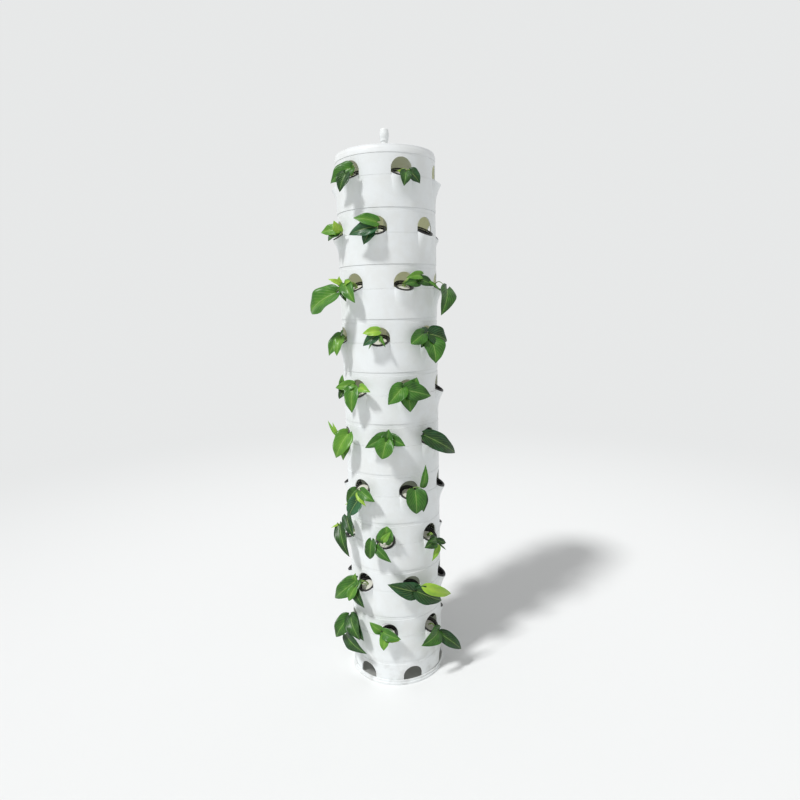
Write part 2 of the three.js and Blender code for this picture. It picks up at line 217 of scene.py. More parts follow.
# %% Floor, sky and sun
SKY_STRENGTH = 0.5
SUN_STRENGTH = 2.5
SUN_SPREAD = math.radians(7)
SUN_HEIGHT = math.radians(54)
SUN_TURN = math.radians(-50)
FLOOR_RADIUS = 30
FLOOR_CORNERS = 64
FLOOR_ROUGHNESS = 0.9
FADE_START, FADE_END = 0.9, 4.0
PALE = colour(0.8, 0.81, 0.81)

world = bpy.data.worlds.new("studio")
bpy.context.scene.world = world
world.use_nodes = True
sky = Tree(world.node_tree)
rays = sky.add("ShaderNodeLightPath").outputs
lit = world.node_tree.nodes["Background"]
sky.feed(lit, {"Color": colour(1, 1, 1), "Strength": SKY_STRENGTH})
shown = sky.add("ShaderNodeBackground", {"Color": PALE, "Strength": 1.0})
straight = sky.maths("MAXIMUM", rays["Is Camera Ray"], rays["Is Glossy Ray"])
straight = sky.maths("MAXIMUM", straight, rays["Is Transmission Ray"])
choice = sky.add("ShaderNodeMixShader", {0: straight, 1: lit.outputs[0], 2: shown.outputs[0]})
sky.feed(world.node_tree.nodes["World Output"], {"Surface": choice.outputs[0]})

sun = bpy.data.lights.new("sun", "SUN")
sun.energy = SUN_STRENGTH
sun.angle = SUN_SPREAD
sun_object = bpy.data.objects.new("sun", sun)
bpy.context.scene.collection.objects.link(sun_object)
towards_sun = Vector((
    math.cos(SUN_HEIGHT) * math.sin(SUN_TURN),
    -math.cos(SUN_HEIGHT) * math.cos(SUN_TURN),
    math.sin(SUN_HEIGHT),
))
sun_object.rotation_euler = towards_sun.to_track_quat("Z", "Y").to_euler()

floor_paint, paint, surface = material("pale floor")
paint.feed(surface, {"Base Color": PALE, "Roughness": FLOOR_ROUGHNESS})
away = paint.add("ShaderNodeVectorMath", {0: paint.place()}, operation="LENGTH").outputs["Value"]
distant = paint.add("ShaderNodeEmission", {"Color": PALE, "Strength": 1.0})
fading = paint.fade(away, FADE_START, FADE_END)
blended = paint.add("ShaderNodeMixShader", {0: fading, 1: surface.outputs[0], 2: distant.outputs[0]})
paint.feed(floor_paint.node_tree.nodes["Material Output"], {"Surface": blended.outputs[0]})

floor_mesh = bpy.data.meshes.new("studio_floor")
floor_turns = [math.tau * i / FLOOR_CORNERS for i in range(FLOOR_CORNERS)]
rim = [(FLOOR_RADIUS * math.cos(turn), FLOOR_RADIUS * math.sin(turn), 0) for turn in floor_turns]
floor_mesh.from_pydata(rim, [], [list(range(FLOOR_CORNERS))])
floor_mesh.materials.append(floor_paint)
studio_floor = bpy.data.objects.new("studio_floor", floor_mesh)
bpy.context.scene.collection.objects.link(studio_floor)
bpy.context.scene.view_settings.view_transform = "Standard"
print("Light comes from", [round(v, 2) for v in towards_sun])

# %% [markdown]
# ## Shared effects
#
# Four effects make up the finishes, and each is a node group: the faint grain of a moulded
# surface, the patchiness of weathered plastic, painted shade in the joints between rings with
# dirt low down, and painted shade and a painted glow on the inside.

# %% Group maker
SOCKET_KINDS = {float: "Float", int: "Int", tuple: "Color"}


def new_group(name, tree_kind, inputs, outputs):
    """An empty node group with its two ends. An input is its default value, or only its kind."""
    group = bpy.data.node_groups.new(name, tree_kind)
    for socket, value in inputs.items():
        kind = SOCKET_KINDS.get(type(value), value)
        made = group.interface.new_socket(name=socket, in_out="INPUT", socket_type=f"NodeSocket{kind}")
        if kind is not value:
            made.default_value = value
    for socket, kind in outputs.items():
        group.interface.new_socket(name=socket, in_out="OUTPUT", socket_type=f"NodeSocket{kind}")
    tree = Tree(group)
    return group, tree, tree.add("NodeGroupInput").outputs, tree.add("NodeGroupOutput")


# %% Moulded grain
FINE_SHARE = 0.25
grain_group, grain, given, wanted = new_group(
    "moulded grain", "ShaderNodeTree", {"Size": 900.0, "Swell": 22.0}, {"Height": "Float"}
)
fine, broad = grain.noise(given["Size"]), grain.noise(given["Swell"])
grain.feed(wanted, {"Height": grain.maths("MULTIPLY_ADD", fine, FINE_SHARE, broad)})

# %% Weathered patches
PATCH_FADE = (0.14, 0.4)
patch_group, patch, given, wanted = new_group(
    "weathered patches", "ShaderNodeTree",
    {"Colour": colour(1, 1, 1), "Patch Colour": colour(1, 1, 1), "Amount": 0.3},
    {"Colour": "Color", "Mask": "Float"},
)
stretched = patch.add("ShaderNodeMapping", {"Vector": patch.place(), "Scale": (9, 9, 2.6)}).outputs[0]
streaks = patch.add("ShaderNodeTexNoise", {"Vector": stretched, "Scale": 1.0, "Detail": 5.0})
spread = patch.maths("MULTIPLY", streaks.outputs["Fac"], patch.noise(scale=31.0, detail=3.0))
mask = patch.maths("MULTIPLY", patch.fade(spread, *PATCH_FADE), given["Amount"])
patch.feed(wanted, {"Colour": patch.blend(mask, given["Colour"], given["Patch Colour"]), "Mask": mask})

# %% Painted shade in the joints, and dirt low down
ROWS = 10
PORTS = 6
TOP_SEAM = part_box("arch_ring_01")[0].z
TIER = TOP_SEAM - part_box("arch_ring_02")[0].z
LOWEST_SEAM = TOP_SEAM - ROWS * TIER
SKIRT = 57.5 * MM
BAND = 11.5 * MM
LINE_FADE = (0.2, 2.4)  # line widths from a joint between which its painted shade thins out
JOINT_CLOUD_FADE = (0.36, 0.7)
FOOT_FADE = (0.17, 0.0)  # metres above the ground between which the foot's dirt thickens
FOOT_CLOUD_FADE = (0.42, 0.72)

# The joint lines are painted shade between the rings; low down the colour darkens with dirt.
joint_shade_and_grime_group, shade_and_grime, given, wanted = new_group(
    "joint shade and foot grime", "ShaderNodeTree",
    {
        "Colour": colour(1, 1, 1), "Shade And Grime": colour(0.3, 0.28, 0.24),
        "Line": 1.0 * MM, "Joint Shade": 0.12, "Foot": 0.4,
    },
    {"Colour": "Color", "Mask": "Float"},
)
height = shade_and_grime.add("ShaderNodeSeparateXYZ", {0: shade_and_grime.place()}).outputs["Z"]
above_seam = shade_and_grime.maths("FLOORED_MODULO", shade_and_grime.maths("SUBTRACT", height, LOWEST_SEAM), TIER)
nearest = shade_and_grime.maths("MINIMUM", above_seam, shade_and_grime.maths("SUBTRACT", TIER, above_seam))
for joint in (SKIRT, SKIRT + BAND):
    off = shade_and_grime.maths("ABSOLUTE", shade_and_grime.maths("SUBTRACT", above_seam, joint))
    nearest = shade_and_grime.maths("MINIMUM", nearest, off)
lines_away = shade_and_grime.maths("DIVIDE", nearest, given["Line"])
painted_joint_shade = shade_and_grime.maths("SUBTRACT", 1.0, shade_and_grime.fade(lines_away, *LINE_FADE))
cloud = shade_and_grime.noise(scale=26.0, detail=6.0)
painted_joint_shade = shade_and_grime.maths("MULTIPLY", painted_joint_shade, shade_and_grime.fade(cloud, *JOINT_CLOUD_FADE))
painted_joint_shade = shade_and_grime.maths("MULTIPLY", painted_joint_shade, given["Joint Shade"])
low = shade_and_grime.maths("MULTIPLY", shade_and_grime.fade(height, *FOOT_FADE), shade_and_grime.fade(cloud, *FOOT_CLOUD_FADE))
mask = shade_and_grime.maths("MAXIMUM", painted_joint_shade, shade_and_grime.maths("MULTIPLY", low, given["Foot"]))
shade_and_grime.feed(wanted, {"Colour": shade_and_grime.blend(mask, given["Colour"], given["Shade And Grime"]), "Mask": mask})

# %% Painted shade and glow inside
INSIDE_RADIUS = 147.2 * MM
DEEP_SHADE_FADE = (1.35, 0.65)  # metres above the ground between which the painted shade darkens
COVER_FADE = (0.2, 0.75, 0.75, 1.0)  # from and to in the noise, and the share that is covered there
FOOT_SHADE_FADE = (0.6, 1.0)  # shares of the foot shade's height between which it thins out
# The inside is painted: a khaki tint stands in for green-brown light, darker lower down as painted shade and
# dark grey at the foot as painted shade. The same colours feed a painted glow.
inside_shade_group, inside_shade, given, wanted = new_group(
    "painted shade inside", "ShaderNodeTree",
    {
        "Colour": colour(1, 1, 1), "Tinted Shade": colour(0.64, 0.65, 0.45), "Deep Shade": colour(0.29, 0.315, 0.25),
        "Foot Shade": colour(0.24, 0.245, 0.235), "Radius": INSIDE_RADIUS, "Foot Shade Height": 85 * MM,
    },
    {"Colour": "Color", "Painted Glow": "Color"},
)
parts = inside_shade.add("ShaderNodeSeparateXYZ", {0: inside_shade.place()}).outputs
level = inside_shade.add("ShaderNodeCombineXYZ", {"X": parts["X"], "Y": parts["Y"]}).outputs[0]
away = inside_shade.add("ShaderNodeVectorMath", {0: level}, operation="LENGTH").outputs["Value"]
within = inside_shade.maths("LESS_THAN", away, given["Radius"])
covered = inside_shade.maths("MULTIPLY", within, inside_shade.fade(inside_shade.noise(scale=14.0, detail=4.0), *COVER_FADE))
coat = inside_shade.blend(inside_shade.fade(parts["Z"], *DEEP_SHADE_FADE), given["Tinted Shade"], given["Deep Shade"])
above_foot_shade = inside_shade.fade(inside_shade.maths("DIVIDE", parts["Z"], given["Foot Shade Height"]), *FOOT_SHADE_FADE)
coat = inside_shade.blend(above_foot_shade, given["Foot Shade"], coat)
inside_shade.feed(wanted, {
    "Colour": inside_shade.blend(covered, given["Colour"], coat),
    "Painted Glow": inside_shade.blend(within, colour(0, 0, 0), coat),
})
print("Effects:", [group.name for group in bpy.data.node_groups])

# %% [markdown]
# ## Finishes
#
# White polypropylene is satin: it scatters light evenly with one soft highlight. The net pots
# are matt black, the plugs are open foam, and the leaves are waxy, with pale veins.

# %% White plastic
# Both whites lean slightly blue, which is painted cool light in their colour.
WHITE = colour(0.81, 0.84, 0.85)
TRIM_WHITE = colour(0.83, 0.855, 0.865)
# Strength of the painted glow inside.
PAINTED_GLOW = 0.22
SATIN = 0.36
SHADE_AND_GRIME_ROUGHENS = 0.35
PATCH_ROUGHENS = 0.2


def relief(tree, shader, height, strength, depth, **settings):
    """A bump map on a finish. Its depth is in millimetres."""
    inputs = {"Height": height, "Strength": strength, "Distance": depth * MM}
    tree.feed(shader, {"Normal": tree.add("ShaderNodeBump", inputs, **settings).outputs["Normal"]})


def white_plastic(name, body, has_painted_inside):
    """Satin white plastic. A painted inside also has a painted glow, which stands in for daylight through the
    thin walls.
    """
    made, tree, shader = material(name)
    patched = tree.use(patch_group, {"Colour": body, "Patch Colour": colour(0.74, 0.75, 0.73), "Amount": 0.5})
    # Painted shade in the joints, and dirt at the foot.
    shaded_and_grimy = tree.use(joint_shade_and_grime_group, {"Colour": patched["Colour"], "Shade And Grime": colour(0.33, 0.32, 0.29)})
    last = shaded_and_grimy["Colour"]
    if has_painted_inside:
        painted_inside = tree.use(inside_shade_group, {"Colour": last})
        last = painted_inside["Colour"]
        # The inside's painted glow.
        tree.feed(shader, {"Emission Color": painted_inside["Painted Glow"], "Emission Strength": PAINTED_GLOW})
    rough = tree.maths("MULTIPLY_ADD", shaded_and_grimy["Mask"], SHADE_AND_GRIME_ROUGHENS, SATIN)
    rough = tree.maths("MULTIPLY_ADD", patched["Mask"], PATCH_ROUGHENS, rough)
    tree.feed(shader, {"Base Color": last, "Roughness": rough})
    moulded = tree.use(grain_group, {"Size": 1400.0, "Swell": 18.0})
    relief(tree, shader, moulded["Height"], strength=0.12, depth=0.6)
    return made


ring_plastic = white_plastic("white ring plastic", WHITE, has_painted_inside=True)
trim_plastic = white_plastic("white trim plastic", TRIM_WHITE, has_painted_inside=False)

# %% Black plastic and foam
MATT = 0.42
WEAR_ROUGHENS = 0.4
PORE_FADE = (0.1, 0.6)

black_plastic, tree, shader = material("black net pot plastic")
worn = tree.use(patch_group, {
    "Colour": colour(0.011, 0.011, 0.012), "Patch Colour": colour(0.06, 0.058, 0.05), "Amount": 0.5,
})
rough = tree.maths("MULTIPLY_ADD", worn["Mask"], WEAR_ROUGHENS, MATT)
tree.feed(shader, {"Base Color": worn["Colour"], "Roughness": rough})
moulded = tree.use(grain_group, {"Size": 1800.0, "Swell": 60.0})
relief(tree, shader, moulded["Height"], strength=0.3, depth=0.3)

foam, tree, shader = material("sponge foam")
pores = tree.add("ShaderNodeTexVoronoi", {"Vector": tree.place(), "Scale": 620.0}, feature="F1")
open_cell = tree.fade(pores.outputs["Distance"], *PORE_FADE)
damp = tree.use(patch_group, {
    "Colour": colour(0.9, 0.9, 0.86), "Patch Colour": colour(0.72, 0.73, 0.6), "Amount": 0.4,
})
# The pores are painted darker: painted shade in the foam's hollows.
shaded = tree.blend(open_cell, damp["Colour"], colour(0.66, 0.65, 0.57))
tree.feed(shader, {"Base Color": shaded, "Roughness": 0.95})
relief(tree, shader, open_cell, strength=0.6, depth=0.8, invert=True)

# %% Leaf
# A leaf's UV map runs from stalk to tip along U and across the blade along V, with the midrib at
# half way. The underside is one unit further along U. A leaf's tone is an attribute of its mesh.
TONES = (
    (0.0, colour(0.028, 0.12, 0.05)),
    (0.25, colour(0.01, 0.042, 0.008)),
    (0.5, colour(0.05, 0.175, 0.018)),
    (0.75, colour(0.16, 0.36, 0.035)),
    (1.0, colour(0.36, 0.56, 0.055)),
)
UNDERSIDE = 1.0  # U beyond which the underside's map lies
MIDRIB = 0.5
RIB_FADE = (0.03, 0.008)  # distances from the midrib, in blade widths
RIB_HALO_FADE = (0.3, 0.0)
RIB_HALO = 0.1
RIB_COVER = 0.45
RIB_COLOUR = colour(0.36, 0.5, 0.16)
VEINS = 7.0
VEIN_SLANT = -1.1
VEIN_MIDDLE = 0.5
VEIN_FADE = (0.09, 0.02)
VEIN_END_FADE = (0.5, 0.3)
VEIN_COVER = 0.3
VEIN_COLOUR = colour(0.3, 0.45, 0.12)
BENEATH_COVER = 0.55
BENEATH_COLOUR = colour(0.25, 0.36, 0.16)
TONE_SPREAD = 0.34
WAXY, BENEATH_ROUGHENS, CLOUD_ROUGHENS = 0.26, 0.3, 0.12
VEIN_GROOVE, RIB_GROOVE, PUFF = -0.5, -1.0, 0.8
STALK_FADE = (0.3, 0.7)


def ramp(tree, value, stops):
    """A colour for each value between the stops."""
    made = tree.add("ShaderNodeValToRGB", {"Fac": value})
    points = made.color_ramp.elements
    for (where, shade), point in zip(stops, [points[0], points[1]] + [points.new(1) for _ in stops[2:]]):
        point.position = where
        point.color = shade
    return made.outputs["Color"]


leaf_skin, tree, shader = material("waxy leaf")
leaf_map = tree.add("ShaderNodeUVMap", uv_map="leaf").outputs[0]
way = tree.add("ShaderNodeSeparateXYZ", {0: leaf_map}).outputs
beneath = tree.maths("GREATER_THAN", way["X"], UNDERSIDE)
along = tree.maths("FRACT", way["X"])
off_middle = tree.maths("ABSOLUTE", tree.maths("SUBTRACT", way["Y"], MIDRIB))
rib = tree.fade(off_middle, *RIB_FADE)
slanted = tree.maths("MULTIPLY_ADD", off_middle, VEIN_SLANT, along)
ripple = tree.maths("FRACT", tree.maths("MULTIPLY", slanted, VEINS))
ripple = tree.maths("ABSOLUTE", tree.maths("SUBTRACT", ripple, VEIN_MIDDLE))
vein = tree.maths("MULTIPLY", tree.fade(ripple, *VEIN_FADE), tree.fade(off_middle, *VEIN_END_FADE))
tone = tree.add("ShaderNodeAttribute", attribute_name="tone").outputs["Fac"]
cloud = tree.noise(scale=42.0, detail=4.0)
tone = tree.maths("ADD", tone, tree.maths("MULTIPLY_ADD", cloud, TONE_SPREAD, -TONE_SPREAD / 2))
halo = tree.maths("MULTIPLY", tree.fade(off_middle, *RIB_HALO_FADE), RIB_HALO)
blade_colour = ramp(tree, tree.maths("ADD", tone, halo), TONES)
veined = tree.blend(tree.maths("MULTIPLY", vein, VEIN_COVER), blade_colour, VEIN_COLOUR)
ribbed = tree.blend(tree.maths("MULTIPLY", rib, RIB_COVER), veined, RIB_COLOUR)
paler = tree.blend(BENEATH_COVER, ribbed, BENEATH_COLOUR)
gloss = tree.maths("MULTIPLY_ADD", beneath, BENEATH_ROUGHENS, WAXY)
tree.feed(shader, {
    "Base Color": tree.blend(beneath, ribbed, paler),
    "Roughness": tree.maths("MULTIPLY_ADD", cloud, CLOUD_ROUGHENS, gloss),
    "Specular IOR Level": 0.28,
})
vein_groove = tree.maths("MULTIPLY", vein, VEIN_GROOVE)
rib_groove = tree.maths("MULTIPLY", rib, RIB_GROOVE)
puffed = tree.maths("ADD", tree.maths("ADD", vein_groove, rib_groove), tree.maths("MULTIPLY", cloud, PUFF))
relief(tree, shader, puffed, strength=0.5, depth=0.5)

stalk_skin, tree, shader = material("leaf stalk")
young = tree.fade(tree.noise(scale=90.0, detail=3.0), *STALK_FADE)
stalk_colour = tree.blend(young, colour(0.17, 0.34, 0.05), colour(0.36, 0.5, 0.13))
tree.feed(shader, {"Base Color": stalk_colour, "Roughness": 0.4})
print("Finishes:", [made.name for made in bpy.data.materials])

# %% [markdown]
# ## Rings from one port
#
# Both kinds of ring repeat six times round. It would be wasteful to draw the whole ring, so one
# sixth is drawn in mesh code, as a row of columns that each run up the outside and down the
# inside. A small Geometry Nodes tree then turns copies of that sixth about the axis and welds
# them. The same tree makes the net pots from one rib and its share of the hoops.

# %% Round pattern tree
WELD = 0.02 * MM


def round_pattern():
    """A Geometry Nodes tree that repeats a sector about the Z axis and welds the copies."""
    group, tree, given, wanted = new_group(
        "round pattern", "GeometryNodeTree",
        {"Sector": "Geometry", "Count": PORTS, "Weld": WELD, "Finish": "Material"}, {"Whole": "Geometry"},
    )
    spots = tree.add("GeometryNodePoints", {"Count": given["Count"]})
    number = tree.add("GeometryNodeInputIndex").outputs[0]
    step = tree.maths("DIVIDE", math.tau, given["Count"])
    spin = tree.add("ShaderNodeCombineXYZ", {"Z": tree.maths("MULTIPLY", number, step)})
    turn = tree.add("FunctionNodeEulerToRotation", {0: spin.outputs[0]})
    copies = tree.add("GeometryNodeInstanceOnPoints", {
        "Points": spots.outputs[0], "Instance": given["Sector"], "Rotation": turn.outputs[0],
    })
    real = tree.add("GeometryNodeRealizeInstances", {0: copies.outputs[0]})
    welded = tree.add("GeometryNodeMergeByDistance", {"Geometry": real.outputs[0], "Distance": given["Weld"]})
    coat = {"Geometry": welded.outputs[0], "Material": given["Finish"]}
    tree.feed(wanted, {"Whole": tree.add("GeometryNodeSetMaterial", coat).outputs[0]})
    return group


ROUND_PATTERN = round_pattern()

# %% Short calls for meshes
EDGE_ROUND = 0.7 * MM


def piece(name, mesh):
    """A new object for a mesh, at the origin."""
    made = bpy.data.objects.new(name, mesh)
    bpy.context.scene.collection.objects.link(made)
    return made


def mesh_of(name, vertices, faces):
    made = bpy.data.meshes.new(name)
    made.from_pydata([tuple(v) for v in vertices], [], faces)
    made.update()
    return made


def plain_mesh(work):
    """A work object's shape with its modifiers worked in, as a mesh. The object itself goes."""
    bpy.context.view_layer.update()
    ready = work.evaluated_get(bpy.context.evaluated_depsgraph_get())
    made = bpy.data.meshes.new_from_object(ready)
    made.name = work.name
    bpy.data.objects.remove(work)
    return made


def worked_by(group, work, values):
    """A work object's shape after a Geometry Nodes tree, whose inputs are set by identifier."""
    modifier = work.modifiers.new(group.name, "NODES")
    modifier.node_group = group
    sockets = {item.name: item.identifier for item in group.interface.items_tree}
    for name, value in values.items():
        modifier[sockets[name]] = value
    return plain_mesh(work)


def repeated(name, sector, count, finish):
    """The whole made from one sector mesh, as a plain mesh."""
    return worked_by(ROUND_PATTERN, piece(name, sector), {"Count": count, "Finish": finish})


def coated(mesh, finish):
    """The mesh with one finish all over."""
    mesh.materials.clear()
    mesh.materials.append(finish)
    mesh.polygons.foreach_set("material_index", [0] * len(mesh.polygons))
    return mesh


def smooth(mesh):
    """The mesh with its faces shaded as one surface."""
    for face in mesh.polygons:
        face.use_smooth = True
    return mesh


def softened(name, mesh, width=EDGE_ROUND, segments=2, angle=34):
    """A mesh with its edges rounded as a mould rounds them, and its faces shaded smooth."""
    work = piece(name, smooth(mesh))
    bevel = work.modifiers.new("rounded edges", "BEVEL")
    bevel.width = width
    bevel.segments = segments
    bevel.limit_method = "ANGLE"
    bevel.angle_limit = math.radians(angle)
    bevel.harden_normals = True
    return plain_mesh(work)


# %% Columns to a sector
def skin_of(columns):
    """Faces between neighbouring columns, each a closed loop of as many points."""
    count = len(columns[0])
    faces = []
    for column in range(len(columns) - 1):
        for point in range(count):
            above = (point + 1) % count
            here, there = column * count, (column + 1) * count
            faces.append((here + point, there + point, there + above, here + above))
    return [point for column in columns for point in column], faces


def moved_on(faces, count):
    """Faces whose corners are counted on from so many points."""
    return [tuple(count + corner for corner in face) for face in faces]


def on_ring(radius, turn, height):
    """A point by radius, turn from the front in degrees, and height."""
    return Vector((radius * math.sin(math.radians(turn)), -radius * math.cos(math.radians(turn)), height))


def upright(turn, outline):
    """A column of points at one turn, from pairs of radius and height."""
    return [on_ring(radius, turn, level) for radius, level in outline]


# %% [markdown]
# ### The arch ring
#
# A tall skirt with six arches in its foot and a narrower neck above. The arch is a half circle
# on short straight sides. Its curve is walked by angle, so its points lie evenly along it.

# %% Arch ring
RING_RADIUS = 150 * MM
RING_WALL = 4 * MM
RING_BORE = RING_RADIUS - RING_WALL
NECK = 18 * MM
NECK_RADIUS = 148 * MM
BAND_RADIUS = 149.2 * MM
GAP = 0.3 * MM
ARCH_HALF = 31.7 * MM
ARCH_STRAIGHT = 15 * MM
ARCH_STEPS = 28
PLAIN_STEPS = 6
PORT_TURN = 360 / PORTS


def arch_column(turn, foot):
    return upright(turn, [
        (RING_RADIUS, foot), (RING_RADIUS, SKIRT), (BAND_RADIUS, SKIRT), (BAND_RADIUS, SKIRT + BAND - GAP),
        (NECK_RADIUS, SKIRT + BAND - GAP), (NECK_RADIUS, SKIRT + NECK),
        (RING_BORE, SKIRT + NECK), (RING_BORE, foot),
    ])


def sector(name, edge, plain_column, middle):
    """One sixth of a ring: columns through its arch or scoop, between two plain stretches."""
    turns = np.linspace(edge, PORT_TURN / 2, PLAIN_STEPS)
    before = [plain_column(-turn, 0) for turn in turns[::-1]]
    after = [plain_column(turn, 0) for turn in turns]
    return mesh_of(name, *skin_of(before + middle + after))


def arch_sector():
    middle = []
    for step in range(ARCH_STEPS + 1):
        swing = math.pi * (step / ARCH_STEPS - 0.5)
        turn = math.degrees(math.asin(ARCH_HALF * math.sin(swing) / RING_RADIUS))
        middle.append(arch_column(turn, ARCH_STRAIGHT + ARCH_HALF * math.cos(swing)))
    return sector("arch_sector", math.degrees(math.asin(ARCH_HALF / RING_RADIUS)), arch_column, middle)


arch_mesh = softened("arch_ring", repeated("arch_ring", arch_sector(), PORTS, ring_plastic))
print("Arch ring:", len(arch_mesh.polygons), "faces")

# %% [markdown]
# ### The scoop ring
#
# Each scoop leaves the wall low down, swells outwards and ends in a sloping half-round lip. The
# lip is part of a tilted circle, so its points come from that circle. The way from the wall out
# to the lip follows a power curve: flat against the wall at first, then steep near the lip.

# %% Scoop ring
SCOOP_HEIGHT = 86.7 * MM
SCOOP_RADIUS = 150.5 * MM
LEDGE = NECK - BAND + GAP
RECESS_RADIUS = NECK_RADIUS + GAP
MOUTH_TILT = math.radians(30)
LIP_REACH = 18.5 * MM
LIP_DROP = 8.5 * MM
LIP_WALL = 3.2 * MM
RIM_RADIUS = ARCH_HALF - 2 * GAP
MOUTH_REACH = SCOOP_RADIUS + LIP_REACH - RIM_RADIUS * math.cos(MOUTH_TILT)
MOUTH_RISE = RIM_RADIUS * math.sin(MOUTH_TILT) - LIP_DROP
FLARE_DEPTH = 78 * MM
HOLLOW_DEPTH = 60 * MM
FLARE_POWER = 2.3
FLARE_ROUNDING = 0.55
SCOOP_SWING = 78.6  # degrees round the rim from its tip to where it meets the wall
SCOOP_STEPS = 26
OUTER_STEPS = 14
INNER_STEPS = 7
PLAIN_DEPTH = 40 * MM
SCOOP_RING_FOOT = [(RING_BORE, LEDGE), (RECESS_RADIUS, LEDGE), (RECESS_RADIUS, 0)]


def mouth_height(reach):
    """Height of the mouth's plane above the ring's top edge, at a distance from the axis."""
    return MOUTH_RISE - (reach - MOUTH_REACH) * math.tan(MOUTH_TILT)


def plain_scoop_column(turn, rise):
    """Where there is no scoop: the outside with as many points, the top, and the inside."""
    top = SCOOP_HEIGHT + rise
    levels = np.linspace(SCOOP_HEIGHT - PLAIN_DEPTH, SCOOP_HEIGHT, OUTER_STEPS)
    inner_levels = np.linspace(SCOOP_HEIGHT, SCOOP_HEIGHT - HOLLOW_DEPTH, INNER_STEPS)
    outside = [(SCOOP_RADIUS, level) for level in (0, *levels, top)]
    inside = [(RING_BORE, level) for level in (top, *inner_levels)]
    return upright(turn, outside + inside + SCOOP_RING_FOOT)


def scoop_column(swing):
    """A column through the scoop, at a swing round its rim."""
    def on_rim(radius):
        reach = MOUTH_REACH + radius * math.cos(swing) * math.cos(MOUTH_TILT)
        return Vector((radius * math.sin(swing), -reach, SCOOP_HEIGHT + mouth_height(reach)))

    def way(start_radius, depth, end, shares):
        """Points on the curve from the wall, so deep below the top edge, out to the end point."""
        wall = math.sqrt(start_radius**2 - end.x**2)
        stand_off = -end.y - wall
        return [
            Vector((end.x, -wall, SCOOP_HEIGHT - depth + share * (end.z - SCOOP_HEIGHT + depth)))
            + Vector((0, -stand_off * share**FLARE_POWER, 0))
            for share in shares
        ]

    rim, inner = on_rim(RIM_RADIUS), on_rim(RIM_RADIUS - LIP_WALL)
    rounding = math.cos(swing) ** FLARE_ROUNDING
    outer = way(SCOOP_RADIUS, FLARE_DEPTH * rounding, rim, np.linspace(0, 1, OUTER_STEPS + 1))
    hollow = way(RING_BORE, HOLLOW_DEPTH, inner, np.linspace(1, 0, INNER_STEPS + 1))
    turn = math.degrees(math.asin(rim.x / SCOOP_RADIUS))
    return [on_ring(SCOOP_RADIUS, turn, 0)] + outer + hollow + upright(turn, SCOOP_RING_FOOT)


def scoop_sector():
    edge = math.degrees(math.asin(RIM_RADIUS / SCOOP_RADIUS))
    tongue = mouth_height(SCOOP_RADIUS * math.cos(math.radians(edge)))
    swings = [math.radians(SCOOP_SWING * (2 * step / SCOOP_STEPS - 1)) for step in range(SCOOP_STEPS + 1)]
    middle = [plain_scoop_column(-edge, tongue)] + [scoop_column(swing) for swing in swings]
    return sector("scoop_sector", edge, plain_scoop_column, middle + [plain_scoop_column(edge, tongue)])


scoop_mesh = softened("scoop_ring", repeated("scoop_ring", scoop_sector(), PORTS, ring_plastic))
print("Scoop ring:", len(scoop_mesh.polygons), "faces")

# %% Put the rings in place
ODD_ROW_TURN = 17.3


def row_turn(row):
    return ODD_ROW_TURN - (PORT_TURN / 2 if row % 2 == 0 else 0)


def dressed(name, mesh, body, node, finish):
    """A white piece with its finish that rides on a body and stands for a node."""
    made = piece(name, coated(mesh, finish))
    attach(made, body)
    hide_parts(node)
    return made


walls = {}
for kind, mesh, count in (("arch_ring", arch_mesh, ROWS + 1), ("scoop_ring", scoop_mesh, ROWS)):
    for row in range(1, count + 1):
        node = f"{kind}_{row:02d}"
        turned = Matrix.Rotation(math.radians(row_turn(row)), 4, "Z")
        shell = mesh.copy()
        shell.name = f"{node}_shell"
        shell.transform(Matrix.Translation((0, 0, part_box(node)[0].z)) @ turned)
        ring = dressed(f"{node}_shell", shell, "tower", node, ring_plastic)
        walls[(kind, row)] = BVHTree.FromObject(ring, bpy.context.evaluated_depsgraph_get())
print("Rings placed:", 2 * ROWS + 1)

# %% [markdown]
# ## Round pieces
#
# The base tray, riser, lid and end cap were turned or moulded as bodies of revolution. Each is
# an outline swept once round the axis, with its corners rounded afterwards.

# %% Lathe
ROUND_STEPS = 144
PIPE_STEPS = 48


def tube(inner, outer, low, high):
    """The outline of a plain tube, or of a disc where the inner radius is 0."""
    return [(inner, low), (outer, low), (outer, high), (inner, high)]


def lathed(name, outline, steps=ROUND_STEPS):
    """A closed body of revolution. The outline runs up the outside and closes on itself or the axis."""
    points, faces, rings = [], [], []
    for radius, level in outline:
        if radius == 0:
            rings.append([len(points)] * steps)
            points.append(Vector((0, 0, level)))
            continue
        rings.append(list(range(len(points), len(points) + steps)))
        points += [on_ring(radius, 360 * i / steps, level) for i in range(steps)]
    pairs = list(zip(rings, rings[1:]))
    if outline[0][0] > 0:
        pairs.append((rings[-1], rings[0]))
    for lower, upper in pairs:
        for i in range(steps):
            after = (i + 1) % steps
            unique = list(dict.fromkeys((lower[i], lower[after], upper[after], upper[i])))
            if len(unique) > 2:
                faces.append(unique)
    return mesh_of(name, points, faces)


def joined(name, *meshes, outwards=False):
    """Several meshes as one. All its faces are turned outwards where that is asked."""
    work = bmesh.new()
    for mesh in meshes:
        work.from_mesh(mesh)
    if outwards:
        bmesh.ops.recalc_face_normals(work, faces=work.faces)
    made = bpy.data.meshes.new(name)
    work.to_mesh(made)
    work.free()
    return made


